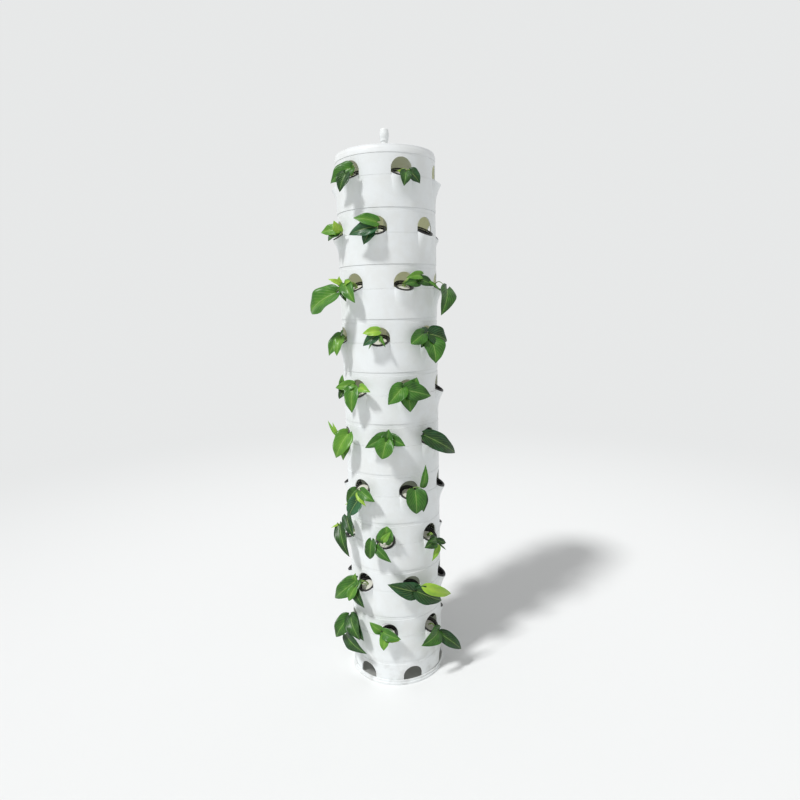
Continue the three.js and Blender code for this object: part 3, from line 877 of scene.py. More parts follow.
# %% Base tray
TRAY_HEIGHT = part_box("base_tray")[1].z
TRAY_RIM = 154 * MM
TRAY_FOOT_RADIUS = 156 * MM
TRAY_FOOT_HEIGHT = 7.5 * MM
TRAY_LIP = 16 * MM
TRAY_SEAT = 10 * MM
TRAY_FLOOR = 4 * MM
SEAT_RADIUS = RING_RADIUS + GAP
SEAT_WIDTH = 8 * MM
TRAY_SEAT_INNER = SEAT_RADIUS - SEAT_WIDTH
RISER_RADIUS = 10 * MM
RISER_BORE = 8.2 * MM
PIPE_HOLE = RISER_RADIUS + GAP
SOCKET_WALL = 4 * MM
HAIR = 0.01 * MM

tray_dish = lathed("tray", [
    (0, 0), (TRAY_FOOT_RADIUS, 0), (TRAY_FOOT_RADIUS, TRAY_FOOT_HEIGHT), (TRAY_RIM, TRAY_FOOT_HEIGHT),
    (TRAY_RIM, TRAY_LIP), (SEAT_RADIUS, TRAY_LIP), (SEAT_RADIUS, TRAY_SEAT), (TRAY_SEAT_INNER, TRAY_SEAT),
    (TRAY_SEAT_INNER, TRAY_FLOOR), (0, TRAY_FLOOR),
])
socket = lathed("socket", tube(PIPE_HOLE, PIPE_HOLE + SOCKET_WALL, TRAY_FLOOR / 2, TRAY_HEIGHT), PIPE_STEPS)
tray_dish = softened("tray", tray_dish, width=1.2 * MM, segments=3)
tray_mesh = joined("base_tray", tray_dish, softened("socket", socket))
dressed("base_tray_dish", tray_mesh, "tower", "base_tray", ring_plastic)

# %% Riser pipe
riser_low, riser_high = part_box("riser_pipe")
riser = lathed("riser", tube(RISER_BORE, RISER_RADIUS, riser_low.z, riser_high.z), PIPE_STEPS)
dressed("riser_tube", softened("riser", riser, width=0.4 * MM), "tower", "riser_pipe", trim_plastic)

# %% Lid
# The lid is a flat plate over a short skirt. The skirt's top is set in, so a line runs round it.
lid_low, lid_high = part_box("lid")
LID_OVERHANG = 1 * MM
LID_RADIUS = RING_RADIUS + LID_OVERHANG
LID_WALL = 2.5 * MM
LID_PLATE = 3 * MM
LID_STEP = 7 * MM
LID_STEP_IN = 2.2 * MM
lid = lathed("lid", [
    (PIPE_HOLE, lid_high.z - LID_PLATE),
    (LID_RADIUS - LID_WALL, lid_high.z - LID_PLATE),
    (LID_RADIUS - LID_WALL, lid_low.z),
    (LID_RADIUS, lid_low.z),
    (LID_RADIUS, lid_high.z - LID_STEP - LID_STEP_IN),
    (LID_RADIUS - LID_STEP_IN, lid_high.z - LID_STEP + LID_STEP_IN),
    (LID_RADIUS - LID_STEP_IN, lid_high.z),
    (PIPE_HOLE, lid_high.z),
])
lid = softened("lid", lid, width=1.6 * MM, segments=4, angle=30)
dressed("lid_cover", lid, "lid", "lid", trim_plastic)

# %% End cap
cap_low, cap_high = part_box("end_cap")
CAP_HEIGHT = cap_high.z - cap_low.z
CAP_ROOF = 10 * MM
CAP_BORE_TOP = cap_high.z - CAP_ROOF
CAP_STEPS = 64
CAP_OUTLINE = (  # radius in millimetres, and height as a share of the cap's
    (12, 0), (12, 0.17), (12.4, 0.21), (13.6, 0.31), (14, 0.36), (14, 0.56), (13.8, 0.62),
    (12.7, 0.76), (12.4, 0.84), (12, 0.9), (10.6, 0.95), (8, 0.985), (4.5, 1),
)
cap_outside = [(radius * MM, cap_low.z + share * CAP_HEIGHT) for radius, share in CAP_OUTLINE]
cap_bore = [(0, CAP_BORE_TOP), (PIPE_HOLE, CAP_BORE_TOP), (PIPE_HOLE, cap_low.z + HAIR)]
cap = lathed("cap", [(PIPE_HOLE, cap_low.z)] + cap_outside + [(0, cap_high.z)] + cap_bore, CAP_STEPS)
cap = softened("cap", cap, width=0.5 * MM, angle=50)
dressed("end_cap_knob", cap, "end_cap", "end_cap", trim_plastic)

# %% Drip tray
# The drip tray hangs under the lid. Its floor has six holes, cut through a turned dish.
drip_low, drip_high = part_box("drip_tray")
DRIP_WALL = 1.5 * MM
DRIP_LEDGE = 6 * MM
DRIP_INNER = RING_BORE - DRIP_LEDGE
DRIP_HOLE = 3 * MM
DRIP_HOLE_SHARE = 0.62  # of the way from the axis to the dish's wall
DRILL_REACH = 3 * DRIP_WALL
DRILL_STEPS = 24
drip = piece("drip", lathed("drip", [
    (PIPE_HOLE, drip_low.z),
    (DRIP_INNER, drip_low.z),
    (DRIP_INNER, drip_high.z - DRIP_WALL),
    (NECK_RADIUS, drip_high.z - DRIP_WALL),
    (NECK_RADIUS, drip_high.z),
    (DRIP_INNER - DRIP_WALL, drip_high.z),
    (DRIP_INNER - DRIP_WALL, drip_low.z + DRIP_WALL),
    (PIPE_HOLE, drip_low.z + DRIP_WALL),
]))
drill = lathed("drill", tube(0, DRIP_HOLE, drip_low.z - DRIP_WALL, drip_low.z + DRILL_REACH), DRILL_STEPS)
drill.transform(Matrix.Translation((0, -DRIP_HOLE_SHARE * DRIP_INNER, 0)))
drills = piece("drills", repeated("drills", drill, PORTS, trim_plastic))
drills.data.transform(Matrix.Rotation(math.radians(ODD_ROW_TURN), 4, "Z"))
cut = drip.modifiers.new("holes", "BOOLEAN")
cut.object = drills
cut.solver = "EXACT"
drip_mesh = softened("drip", plain_mesh(drip), width=0.3 * MM)
bpy.data.objects.remove(drills)
dressed("drip_tray_dish", drip_mesh, "tower", "drip_tray", trim_plastic)

# %% [markdown]
# ## Net pot and plug
#
# A net pot is a black basket with a wide flange. One sixteenth of it holds one rib and its share
# of the hoops and the flange, and the round pattern does the rest. The plug is a puck of foam
# with a domed and slightly uneven top.

# %% Net pot
POT_FLANGE = 29.2 * MM
POT_FLANGE_THICK = 3 * MM
POT_RIM_TOP = 2 * MM  # from the flange's edge to where its raised rim starts to fall
POT_RIM_FOOT = 2.6 * MM
POT_RIM_HEIGHT = 0.8 * MM
POT_TOP = 24.5 * MM
POT_FOOT = 17 * MM
POT_DEPTH = 48 * MM
POT_WALL = 1.4 * MM
POT_RIBS = 16
POT_HOOPS = (  # share of the way down, and height: a collar under the flange, then three hoops
    (0.02, 15 * MM), (0.53, 3.4 * MM), (0.76, 3.4 * MM), (1.0, 3.4 * MM),
)
POT_SECTOR_STEPS = 4
POT_BASE_STEPS = 32
POT_RIB_WIDTH = 3.2 * MM
POT_RIB_ENDS = (0.01, 0.99)  # shares of the way down
POT_RIB_SIDES = (0.1, 0.9)  # shares of the wall, from outside
BOX_FACES = ((0, 1, 3, 2), (4, 6, 7, 5), (0, 2, 6, 4), (1, 5, 7, 3), (0, 4, 5, 1), (2, 3, 7, 6))


def net_pot_sector():
    """One rib and the hoops and flange that go with it, with the flange's underside at z = GAP."""
    def wall_at(share):
        return POT_TOP + share * (POT_FOOT - POT_TOP)

    def level_at(share):
        return GAP - share * POT_DEPTH

    half = 180 / POT_RIBS
    top = GAP + POT_FLANGE_THICK
    outlines = [[
        (POT_TOP - POT_WALL, GAP), (POT_FLANGE, GAP), (POT_FLANGE, top), (POT_FLANGE - POT_RIM_TOP, top),
        (POT_FLANGE - POT_RIM_FOOT, top - POT_RIM_HEIGHT), (POT_TOP - POT_WALL, top - POT_RIM_HEIGHT),
    ]]
    for share, height in POT_HOOPS:
        low = min(share + height / POT_DEPTH, 1.0)
        high = low - height / POT_DEPTH
        outlines.append([
            (wall_at(low) - POT_WALL, level_at(low)), (wall_at(low), level_at(low)),
            (wall_at(high), level_at(high)), (wall_at(high) - POT_WALL, level_at(high)),
        ])
    points, faces = [], []
    for outline in outlines:
        turns = np.linspace(-half, half, POT_SECTOR_STEPS + 1)
        more, skin = skin_of([upright(turn, outline) for turn in turns])
        faces += moved_on(skin, len(points))
        points += more
    rib_half = math.degrees(POT_RIB_WIDTH / 2 / POT_TOP)
    faces += moved_on(BOX_FACES, len(points))
    points += [
        on_ring(wall_at(share) - POT_WALL * side, turn, level_at(share))
        for share in POT_RIB_ENDS for turn in (-rib_half, rib_half) for side in POT_RIB_SIDES
    ]
    return mesh_of("net_pot_sector", points, faces)


pot_floor = GAP - POT_DEPTH
pot_base = tube(0, POT_FOOT - POT_WALL / 2, pot_floor, pot_floor + POT_WALL)
pot_base = lathed("pot_base", pot_base, POT_BASE_STEPS)
pot_wall = repeated("pot_wall", net_pot_sector(), POT_RIBS, black_plastic)
pot_wall = joined("pot_wall", pot_wall, outwards=True)
pot_mesh = softened("net_pot", joined("net_pot", pot_wall, pot_base), width=0.35 * MM, segments=1, angle=40)
coated(pot_mesh, black_plastic)
print("Net pot:", len(pot_mesh.polygons), "faces")

# %% Plug
PLUG_ROOM = 2.5 * MM
PLUG_RADIUS = POT_TOP - POT_WALL - PLUG_ROOM
PLUG_RISE = 3.5 * MM
PLUG_DEPTH = 20 * MM
PLUG_SUNK = 9 * MM
PLUG_STEPS = 40
PLUG_LUMP = 0.35  # millimetres
LUMP_START = 11
PLUG_OUTLINE = (  # share of the radius, and height in millimetres above the plug's rim
    (0.8, -20), (0.97, -3), (1, -1.2), (0.985, 0.8), (0.94, 2.2), (0.85, 3.1), (0.6, 3.5), (0.3, 3.6),
)
plug_top = GAP + POT_FLANGE_THICK - PLUG_SUNK
plug_side = [(share * PLUG_RADIUS, plug_top + level * MM) for share, level in PLUG_OUTLINE]
plug_mesh = lathed("plug", [(0, plug_top - PLUG_DEPTH)] + plug_side + [(0, plug_top + PLUG_RISE)], PLUG_STEPS)
lumps = random.Random(LUMP_START)
for vertex in plug_mesh.vertices:
    if vertex.co.z > plug_top:
        vertex.co.z += lumps.uniform(-PLUG_LUMP, PLUG_LUMP) * MM
smooth(plug_mesh).materials.append(foam)

# %% [markdown]
# ## Leaves
#
# The plants are young climbers with heart-shaped leaves on long stalks. A blade is a grid of
# points along and across. Its outline, its fold along the midrib, its arch and the waves of its
# edge are formulas of those two shares, so a few numbers give each leaf its own shape. An upper
# and a lower skin meet at the edge, so the blade is a thin closed body.
#
# Leaves that the photograph shows are placed by pixel: where the blade starts, where its tip is,
# and how far each lies from the tower's axis. Their stalks start in the plug that carries them.

# %% Blade
BLADE_ALONG = 15
BLADE_ACROSS = 9
BLADE_THICK = 0.5 * MM
BASE_FULLNESS = 0.42
ROW_CROWDING = 1.15  # above 1, a blade's rows crowd towards its stalk
OUTLINE_ENDS = (0.004, 0.996)  # shares between which the outline is taken, so that no end is a point
LOBE_CURVE, LOBE_FADE = 1.3, 3
WAVES, WAVE_LAG = 1.7, 2
FOLD_NARROWS = 0.12
END_THICKNESS, THICKENING = 0.2, 8  # share of the thickness at the ends, and how fast it grows
MAP_LENGTH, MAP_START = 0.98, 0.01


def blade_half_width(share, point):
    """Half the blade's width as a share of the widest, from stalk (0) to tip (1)."""
    widest = BASE_FULLNESS / (BASE_FULLNESS + point)
    peak = widest**BASE_FULLNESS * (1 - widest) ** point
    return share**BASE_FULLNESS * (1 - share) ** point / peak


def blade(base, tip, width, facing, shape):
    """Points and UVs of one blade. The shape is a dictionary of shares."""
    chord = tip - base
    length = chord.length
    forward = chord / length
    normal = (facing - forward * facing.dot(forward)).normalized()
    normal = Matrix.Rotation(math.radians(shape["roll"]), 3, forward) @ normal
    side = forward.cross(normal)
    points, maps = [], []
    for layer in (0, 1):
        for step in range(BLADE_ALONG + 1):
            share = (step / BLADE_ALONG) ** ROW_CROWDING
            outlined = min(max(share, OUTLINE_ENDS[0]), OUTLINE_ENDS[1])
            half = width / 2 * blade_half_width(outlined, shape["point"])
            rise = shape["arch"] * length * 4 * share * (1 - share)
            for column in range(BLADE_ACROSS):
                off = 2 * column / (BLADE_ACROSS - 1) - 1  # from -1 at one edge to 1 at the other
                back = shape["lobe"] * width * abs(off) ** LOBE_CURVE * (1 - share) ** LOBE_FADE
                lift = half * (shape["fold"] * abs(off) - shape["cup"] * off * off)
                wave = math.sin(math.tau * (WAVES * share + shape["phase"]) + WAVE_LAG * off)
                lift += shape["wave"] * half * off * off * wave
                thick = BLADE_THICK / 2 * (1 - off * off) ** 0.5 * (1 if layer == 0 else -1)
                thick *= min(1, THICKENING * share * (1 - share) + END_THICKNESS)
                place = base + forward * (share * length - back)
                place = place + side * half * off * (1 - FOLD_NARROWS * shape["fold"])
                points.append(place + normal * (rise + lift + thick))
                maps.append((share * MAP_LENGTH + MAP_START + layer, column / (BLADE_ACROSS - 1)))
    return points, maps


def blade_faces():
    """The faces of any blade: its two skins, its long edges and its ends."""
    faces = []
    row = BLADE_ACROSS
    lower = (BLADE_ALONG + 1) * row
    for start in range(0, BLADE_ALONG * row, row):
        for near in range(start, start + row - 1):
            far = near + row
            faces.append((near, far, far + 1, near + 1))
            faces.append((lower + near, lower + near + 1, lower + far + 1, lower + far))
    for near in range(0, BLADE_ALONG * row, row):
        far = near + row
        faces.append((near, lower + near, lower + far, far))
        near, far = near + row - 1, far + row - 1
        faces.append((near, far, lower + far, lower + near))
    last = BLADE_ALONG * row
    for near in range(row - 1):
        far = last + near
        faces.append((near, near + 1, lower + near + 1, lower + near))
        faces.append((far, lower + far, lower + far + 1, far + 1))
    return faces


BLADE_FACES = blade_faces()

# %% Stalk tree
STALK_RADIUS = 1.5 * MM
STALK_STEPS = 10
STALK_SIDES = 7
STALK_THINS = -0.4


def stalk_tree():
    """A Geometry Nodes tree that gives every curve a round section that thins towards its end."""
    group, tree, given, wanted = new_group(
        "stalks", "GeometryNodeTree",
        {"Paths": "Geometry", "Radius": STALK_RADIUS, "Finish": "Material"}, {"Stalks": "Geometry"},
    )
    along = tree.add("GeometryNodeSplineParameter").outputs["Factor"]
    thinner = tree.maths("MULTIPLY_ADD", along, STALK_THINS, 1.0)
    sized = tree.add("GeometryNodeSetCurveRadius", {"Curve": given["Paths"], "Radius": thinner})
    circle = {"Resolution": STALK_SIDES, "Radius": given["Radius"]}
    section = tree.add("GeometryNodeCurvePrimitiveCircle", circle)
    swept = tree.add("GeometryNodeCurveToMesh", {
        "Curve": sized.outputs[0], "Profile Curve": section.outputs[0], "Fill Caps": True,
    })
    if "Scale" in swept.inputs:
        tree.feed(swept, {"Scale": thinner})
    rounded = tree.add("GeometryNodeSetShadeSmooth", {"Geometry": swept.outputs[0]})
    real = tree.add("GeometryNodeRealizeInstances", {0: rounded.outputs[0]})
    coat = {"Geometry": real.outputs[0], "Material": given["Finish"]}
    tree.feed(wanted, {"Stalks": tree.add("GeometryNodeSetMaterial", coat).outputs[0]})
    return group


STALK_TREE = stalk_tree()


def stalks(name, paths):
    """One mesh of all a plant's stalks. Each path is a start, a bend and an end."""
    curve = bpy.data.curves.new(name, "CURVE")
    curve.dimensions = "3D"
    for start, bend, end in paths:
        spline = curve.splines.new("POLY")
        spline.points.add(STALK_STEPS)
        for step, point in enumerate(spline.points):
            share = step / STALK_STEPS
            place = start * (1 - share) ** 2 + bend * 2 * share * (1 - share) + end * share * share
            point.co = (*place, 1)
    return worked_by(STALK_TREE, piece(name, curve), {"Finish": stalk_skin})


# %% Plant
PLAIN_SHAPE = {
    "point": 1.02, "arch": 0.12, "lobe": 0.24, "fold": 0.44, "cup": 0.24, "wave": 0.13, "roll": 0.0,
}
PHASE_STEP = 0.37
FACES_OUT, FACES_VIEWER, FACES_UP = 0.5, 0.6, 0.3
ROOT_DEPTH = 2 * MM
STALK_CIRCLE = 4  # millimetres from the plug's middle
STALK_TURN = 2.4  # radians from one stalk to the next
STALK_INSET = 0.06  # of the blade's width
STALK_OUT, STALK_UP = 0.55, 0.12  # of the stalk's reach, where it bends


def mouth_frame(row, port):
    """The seated pot's place: the middle of the mouth's plane and the plane's normal."""
    turn = row_turn(row) + (port - 1) * PORT_TURN
    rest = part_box(f"scoop_ring_{row:02d}")[0].z + SCOOP_HEIGHT
    return (
        Matrix.Translation((0, 0, rest))
        @ Matrix.Rotation(math.radians(turn), 4, "Z")
        @ Matrix.Translation((0, -MOUTH_REACH, MOUTH_RISE))
        @ Matrix.Rotation(MOUTH_TILT, 4, "X")
    )


NUDGE = 2 * MM
MOST_NUDGES = 12
SPARE_SHARE = 0.026  # of each side of the CAD model's box, which a leaf may stand out of it
box_low, box_high = (np.array(corner) for corner in cad_box)
room_low = box_low - SPARE_SHARE * (box_high - box_low)
room_high = box_high + SPARE_SHARE * (box_high - box_low)
BASE_ROWS = 3  # rows of a blade next to its stalk, where leaves of one plant may touch
NEAR = 170 * MM  # blades whose middles are further apart than this can't touch
grown = []  # the middle and the search tree of every blade so far


def clear_blade(row, base, tip, width, facing, shape, towards):
    """A blade that is moved to or from a viewer, if need be, until it is clear of what is near."""
    middle = (base + tip) / 2
    others = [walls[("arch_ring", row)], walls[("scoop_ring", row)], walls[("arch_ring", row + 1)]]
    others += [tree for place, tree in grown if (place - middle).length < NEAR]
    for step in sorted(range(-MOST_NUDGES, MOST_NUDGES + 1), key=lambda step: (abs(step), -step)):
        shift = towards * NUDGE * step
        points, maps = blade(base + shift, tip + shift, width, facing, shape)
        low, high = np.min(points, axis=0), np.max(points, axis=0)
        inwards = Vector(np.maximum(room_low - low, 0) + np.minimum(room_high - high, 0))
        points = [point + inwards for point in points]
        tree = BVHTree.FromPolygons(points, BLADE_FACES[2 * (BLADE_ACROSS - 1) * BASE_ROWS:])
        if not any(tree.overlap(other) for other in others):
            break
    shift += inwards
    grown.append((middle + shift, tree))
    return points, maps, base + shift, tip + shift


def plant_mesh(name, row, port, leaves, towards=None):
    """Blades and stalks as one mesh. A leaf is base, tip, width, tone and changes to the shape."""
    seat = mouth_frame(row, port)
    root = seat @ Vector((0, 0, plug_top + PLUG_RISE - ROOT_DEPTH))
    lean = (seat.to_3x3() @ Vector((0, 0, 1))).normalized()
    points, faces, maps, tones, paths = [], [], [], [], []
    for number, (base, tip, width, tone, changes) in enumerate(leaves):
        shape = dict(PLAIN_SHAPE, phase=PHASE_STEP * number, **changes)
        outward = Vector((base.x, base.y, 0)).normalized()
        facing = outward * FACES_OUT + (towards or UP) * FACES_VIEWER + UP * FACES_UP
        viewer = towards or outward
        more, spread, base, tip = clear_blade(row, base, tip, width, facing, shape, viewer)
        faces += moved_on(BLADE_FACES, len(points))
        points += more
        maps += spread
        tones += [tone] * len(more)
        aside = Vector((math.cos(STALK_TURN * number), math.sin(STALK_TURN * number), 0))
        start = root + (seat.to_3x3() @ aside) * STALK_CIRCLE * MM
        reach = (base - start).length
        inside = base + (tip - base).normalized() * width * STALK_INSET
        paths.append((start, start + lean * reach * STALK_OUT + UP * reach * STALK_UP, inside))
    blades = smooth(mesh_of(name, points, faces))
    layer = blades.uv_layers.new(name="leaf")
    corners = np.array([loop.vertex_index for loop in blades.loops])
    layer.data.foreach_set("uv", np.array(maps)[corners].ravel())
    blades.attributes.new("tone", "FLOAT", "POINT").data.foreach_set("value", tones)
    tubes = stalks(f"{name}_stalks", paths)
    made = joined(name, blades, tubes, outwards=True)
    finishes = [0] * len(blades.polygons) + [1] * len(tubes.polygons)
    made.polygons.foreach_set("material_index", finishes)
    made.materials.append(leaf_skin)
    made.materials.append(stalk_skin)
    return made


# %% Leaves by pixel
# Each leaf of the photograph: pixel of the blade's base, pixel of its tip, distance of each from
# the tower's axis in millimetres, the blade's width in millimetres, and its tone, from 0 for
# blue-green through dark, mid and light green to 1 for lime. Changes to the plain shape may follow.
# A tone holds each leaf's own colour together with painted light and shade: leaves lying in shade have darker
# tones, and lit ones lighter tones.
NARROW = {"lobe": 0.0}
PHOTO_LEAVES = {
    (1, 6): [
        ((351, 168), (330.5, 183.5), 172, 194, 52, 0.42),
        ((346, 175), (340, 193), 180, 190, 42, 0.25),
        # This small light leaf is a painted highlight on the big first leaf.
        ((352, 170), (345, 163), 168, 174, 24, 0.72),
    ],
    (1, 1): [
        ((406, 172), (404, 186), 170, 182, 36, 0.3),
        ((410, 172), (420, 183.5), 170, 182, 38, 0.22),
        ((404, 173), (397, 170), 168, 176, 12, 0.95, NARROW),
        ((409, 172), (416, 168), 166, 174, 14, 0.9, NARROW),
    ],
    (2, 6): [
        ((339, 230), (321, 233), 168, 206, 38, 0.62),
        ((338, 232), (328, 241), 168, 200, 36, 0.3),
        ((340, 231), (334, 221), 165, 186, 30, 0.9),
    ],
    (2, 1): [
        ((377, 222), (353, 218), 170, 192, 38, 0.5),
        ((374, 227), (349, 235), 174, 190, 46, 0.08),
        ((371, 230), (363.5, 244.5), 176, 184, 38, 0.12),
    ],
    (3, 6): [
        ((335.5, 293), (311, 312), 205, 232, 78, 0.5, {"point": 0.55, "roll": 8}),
        ((345, 284), (355, 303), 176, 186, 46, 0.5),
        ((342, 288), (346.5, 302), 178, 186, 24, 0.3),
        ((342, 284), (328, 279), 176, 208, 16, 0.95, NARROW),
        ((341, 286), (339, 276), 174, 182, 22, 0.85, NARROW),
        ((345, 284), (351, 281), 172, 178, 20, 0.8),
    ],
    (3, 1): [
        ((422, 275), (406, 278), 174, 178, 28, 0.62),
        ((418, 282), (404, 284), 176, 182, 34, 0.35),
        ((418, 279), (434, 286), 176, 190, 32, 0.28),
        ((428, 281), (440, 291), 184, 198, 10, 0.5, NARROW),
    ],
    (3, 2): [
        ((447, 289), (441, 315.5), 192, 204, 58, 0.32),
    ],
    (4, 6): [
        ((341, 336), (329, 356), 172, 204, 44, 0.5),
        ((343, 336), (343.5, 329.5), 160, 172, 20, 0.5),
        ((341, 338), (337, 356), 174, 196, 38, 0.6),
    ],
    (4, 1): [
        ((379, 331), (362.5, 333.5), 176, 188, 30, 0.85),
        ((377, 335), (363, 346), 172, 184, 34, 0.05),
        ((375, 338), (368.5, 349.5), 174, 180, 8, 0.6, NARROW),
        ((379, 335), (385.5, 347.5), 174, 180, 11, 0.5, NARROW),
    ],
    (4, 2): [
        ((423, 334), (411, 344), 168, 180, 48, 0.42, {"point": 0.66}),
        ((428, 332), (421, 348), 165, 174, 52, 0.2),
        ((430, 334), (447, 341), 172, 195, 62, 0.2),
        ((432, 342), (435.5, 363), 176, 194, 72, 0.42),
    ],
    (5, 6): [
        ((344, 387), (342.5, 374.5), 178, 190, 26, 0.5),
        ((354, 384.5), (335.5, 388), 176, 204, 32, 0.55),
        ((353, 388), (352, 413), 180, 192, 50, 0.5),
        ((360, 387), (370.5, 392), 172, 184, 28, 0.72),
        ((344, 391), (339, 399), 186, 200, 26, 0.25),
    ],
    (5, 1): [
        ((402, 388), (388, 405), 174, 188, 56, 0.48),
        ((405, 390), (431, 396), 172, 192, 60, 0.36),
        ((408, 393), (410.5, 413), 180, 190, 58, 0.48),
        ((412, 388), (417, 377.5), 168, 180, 44, 0.45),
    ],
    (6, 6): [
        ((339, 437), (328, 420.5), 192, 212, 13, 0.7, NARROW),
        ((340, 437), (332.5, 422), 190, 206, 13, 0.75, NARROW),
        ((348, 434), (336, 458), 178, 206, 64, 0.6),
        ((349, 436), (343, 461), 176, 194, 42, 0.55),
    ],
    (6, 1): [
        ((387, 436), (365, 448), 168, 184, 40, 0.42),
        ((387, 440), (389, 429), 168, 176, 38, 0.42),
        ((389, 438), (405.5, 446.5), 170, 186, 38, 0.42),
        ((386, 443), (382, 460), 192, 198, 58, 0.5, {"point": 0.8}),
    ],
    (6, 2): [
        ((424, 435), (455, 453), 172, 209, 58, 0.22),
    ],
    (7, 6): [
        ((361, 491), (375, 502), 176, 184, 38, 0.45),
        ((356, 490), (347, 503), 174, 194, 38, 0.35),
        ((358, 500), (349, 516), 182, 195, 50, 0.05),
        ((357, 493), (366, 507), 182, 188, 20, 0.9, {"lobe": 0.1}),
        ((357, 499), (345, 505), 184, 197, 8, 0.95, NARROW),
    ],
    (7, 1): [
        ((422.5, 488), (425.5, 464.5), 178, 187, 26, 0.45, NARROW),
        ((415, 490), (416.5, 514), 178, 192, 68, 0.38, {"point": 0.8, "lobe": 0.12}),
        ((421, 492), (423.5, 512), 180, 190, 36, 0.32),
    ],
    (8, 6): [
        ((347, 516), (354, 537), 178, 187, 42, 0.2),
        ((340, 525), (349.5, 557), 194, 196, 46, 0.26),
        ((340, 524), (331, 528), 192, 208, 8, 0.95, NARROW),
    ],
    (8, 1): [
        ((385, 541), (387, 526.5), 168, 175, 54, 0.5, {"point": 0.6}),
        # This small light leaf is a painted highlight on the big first leaf.
        ((383, 540), (391, 531), 172, 178, 22, 0.7),
        ((371.5, 540.5), (370, 559), 180, 192, 38, 0.36, {"point": 0.66}),
        ((375.5, 547), (391.5, 563), 184, 194, 30, 0.42),
    ],
    (8, 2): [
        ((434, 540), (424.5, 548), 176, 188, 44, 0.28),
        ((438, 544), (432, 561), 180, 192, 24, 0.8, NARROW),
        ((437, 540), (446, 543), 174, 190, 22, 0.25),
        ((436, 538), (428, 540), 172, 180, 24, 0.35),
        ((439, 544), (446, 550), 180, 196, 6, 0.3, NARROW),
    ],
    (9, 6): [
        ((357, 580), (335, 598), 174, 206, 60, 0.42),
        ((356, 584), (355.5, 573), 170, 180, 32, 0.55),
        ((354, 588), (364.5, 608), 182, 188, 36, 0.24),
        ((355, 586), (349, 599), 184, 196, 32, 0.55),
    ],
    (9, 1): [
        ((417, 592), (387.5, 585), 178, 191, 58, 0.18),
        ((417, 591), (441.5, 600), 182, 197, 58, 0.2),
        ((422, 586), (451, 593.5), 192, 205, 38, 0.9, {"lobe": 0.04}),
    ],
    (10, 6): [
        ((349, 617), (336, 637), 184, 206, 58, 0.34),
        ((351, 617), (360, 640), 186, 198, 56, 0.3),
        ((353, 616), (364, 641), 178, 188, 46, 0.22),
        ((346, 634), (367, 654), 188, 190, 48, 0.22),
    ],
    (10, 1): [
        ((381, 631), (369.5, 622), 172, 182, 32, 0.55),
        ((383, 632), (401, 639.5), 174, 187, 40, 0.48),
        ((385, 636), (383.5, 651.5), 180, 188, 34, 0.66),
        ((387, 639), (400, 642), 180, 188, 20, 0.88),
    ],
    (10, 2): [
        ((438.5, 631), (421.5, 646), 174, 188, 58, 0.36),
        ((441, 632), (463, 648), 174, 210, 46, 0.22),
    ],
}


def leaves_by_pixel(rows):
    """The table's leaves as points in space."""
    return [
        (seen_at(*base, base_away * MM), seen_at(*tip, tip_away * MM), width * MM, tone, dict(*changes))
        for base, tip, base_away, tip_away, width, tone, *changes in rows
    ]


# %% Leaves at the sides and the back
# The ports that the photograph doesn't show are planted in the same way. Their leaves are drawn
# by lot, with a fixed start, inside the space that the CAD model's box allows.
BACK_LEAVES = (3, 4)
BACK_TIP_TURN = 16
BACK_TIP_REACH = (176, 192)
BACK_WIDTH = (40, 62)
BACK_ROLL = 14
BACK_TONES = (0.1, 0.25, 0.3, 0.4, 0.5, 0.5, 0.65, 0.9)
BACK_SCATTER = 0.2
MIDDLE_LEAVES = 0.6  # half swings from the port's middle within which a leaf hangs lower
MIDDLE_DROOP = (0.28, 0.42)  # shares of a tier from the plug down to the tip
OUTER_DROOP = (0.02, 0.26)
BASE_SWING = 0.28  # of the tip's
BASE_DROOP = 0.12  # of the tip's
BASE_RISE = 6 * MM
STALK_REACH = 162 * MM
SIDE_SWING = 26  # degrees that leaves at the tower's sides grow towards the back
CORNER_SWING = 12  # the same, for the ports between a side and the back
SIDE_ENDS, BACK_STARTS = -0.5, -0.9  # cosines of the turn


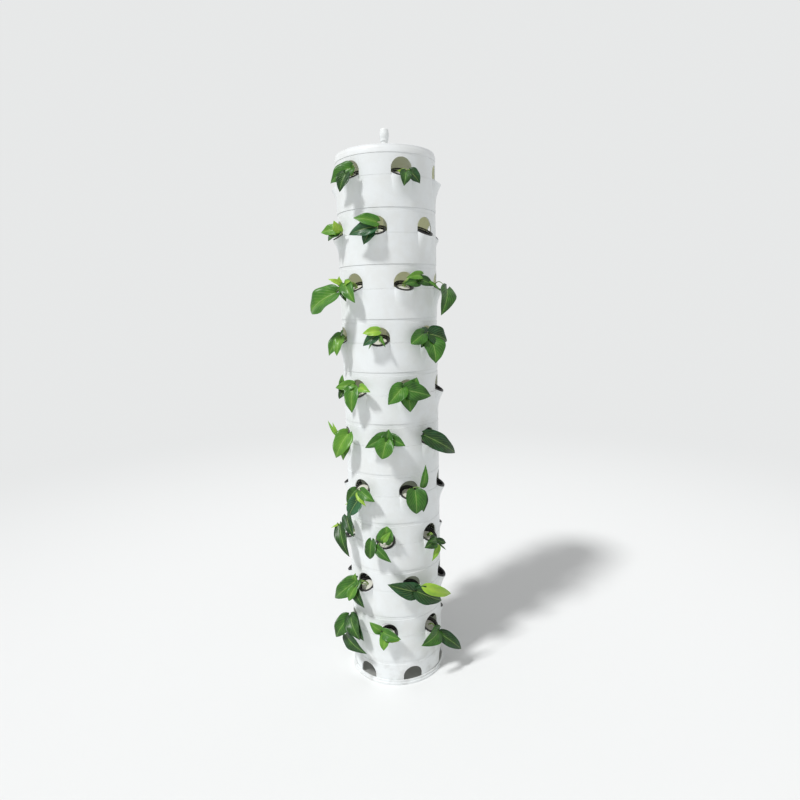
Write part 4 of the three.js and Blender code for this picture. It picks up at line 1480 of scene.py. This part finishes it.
def leaves_by_lot(row, port):
    lot = random.Random(100 * row + port)
    seat = mouth_frame(row, port)
    turn = row_turn(row) + (port - 1) * PORT_TURN
    middle = seat @ Vector((0, 0, plug_top + PLUG_RISE))
    at_side = math.cos(math.radians(turn)) > SIDE_ENDS
    at_back = math.cos(math.radians(turn)) < BACK_STARTS
    side_swing = SIDE_SWING if at_side else (0 if at_back else CORNER_SWING)
    turn += math.copysign(side_swing, math.sin(math.radians(turn)))
    spread = BACK_TIP_TURN / 2 if at_side else BACK_TIP_TURN
    count = lot.choice(BACK_LEAVES)
    found = []
    for number in range(count):
        swing = (number + 0.5) / count * 2 - 1 + lot.uniform(-BACK_SCATTER, BACK_SCATTER)
        droop = lot.uniform(*(MIDDLE_DROOP if abs(swing) < MIDDLE_LEAVES else OUTER_DROOP))
        reach = lot.uniform(*BACK_TIP_REACH) * MM
        tip = on_ring(reach, turn + swing * spread, middle.z - droop * TIER)
        base_level = middle.z - droop * TIER * BASE_DROOP + BASE_RISE
        base = on_ring((reach + STALK_REACH) / 2, turn + swing * spread * BASE_SWING, base_level)
        tone = lot.choice(BACK_TONES)
        width = lot.uniform(*BACK_WIDTH) * MM
        found.append((base, tip, width, tone, {"roll": lot.uniform(-BACK_ROLL, BACK_ROLL)}))
    return found


# %% Plant the ports
FROM_CAMERA = Vector((camera_place.x, camera_place.y, 0)).normalized()
BARE_PORTS = {(1, 2), (1, 5)}
POTS_WITHOUT_PLANT = {(2, 2), (5, 2), (7, 2), (9, 2), (7, 5), (9, 5)}
PROUD_PLUGS = {(7, 6): 14 * MM}  # how far above the usual depth a plug stands
spare = {"pots": [], "plugs": [], "plants": []}


def seated(mesh, row, port, rise=0.0):
    made = mesh.copy()
    made.transform(mouth_frame(row, port) @ Matrix.Translation((0, 0, rise)))
    return made


for row in range(1, ROWS + 1):
    for port in range(1, PORTS + 1):
        node = f"planted_pot_{row:02d}_{port}"
        seen = (row, port) in PHOTO_LEAVES
        towards = FROM_CAMERA if seen else UP
        leaves = leaves_by_pixel(PHOTO_LEAVES[(row, port)]) if seen else leaves_by_lot(row, port)
        if node in frame["nodes"]:
            proud = PROUD_PLUGS.get((row, port), 0)
            for name, mesh, slot in (
                (f"net_pot_{row:02d}_{port}", seated(pot_mesh, row, port), "black_plastic"),
                (f"plug_{row:02d}_{port}", seated(plug_mesh, row, port, proud), "sponge"),
                (f"plant_{row:02d}_{port}", plant_mesh(node, row, port, leaves, towards), "leaf"),
            ):
                made = piece(name, mesh)
                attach(made, node if node in frame["bodies"] else "tower")
                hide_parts(node)
        elif (row, port) not in BARE_PORTS:
            spare["pots"].append(seated(pot_mesh, row, port))
            if (row, port) not in POTS_WITHOUT_PLANT:
                spare["plugs"].append(seated(plug_mesh, row, port))
                spare["plants"].append(plant_mesh(node, row, port, leaves))

for kind, slot in (("pots", "black_plastic"), ("plugs", "sponge"), ("plants", "leaf")):
    whole = joined(f"fixed_{kind}", *spare[kind])
    for finish in spare[kind][0].materials:
        whole.materials.append(finish)
    made = piece(f"fixed_{kind}", whole)
    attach(made, "tower")
    print(f"fixed_{kind}:", len(whole.polygons), "faces")
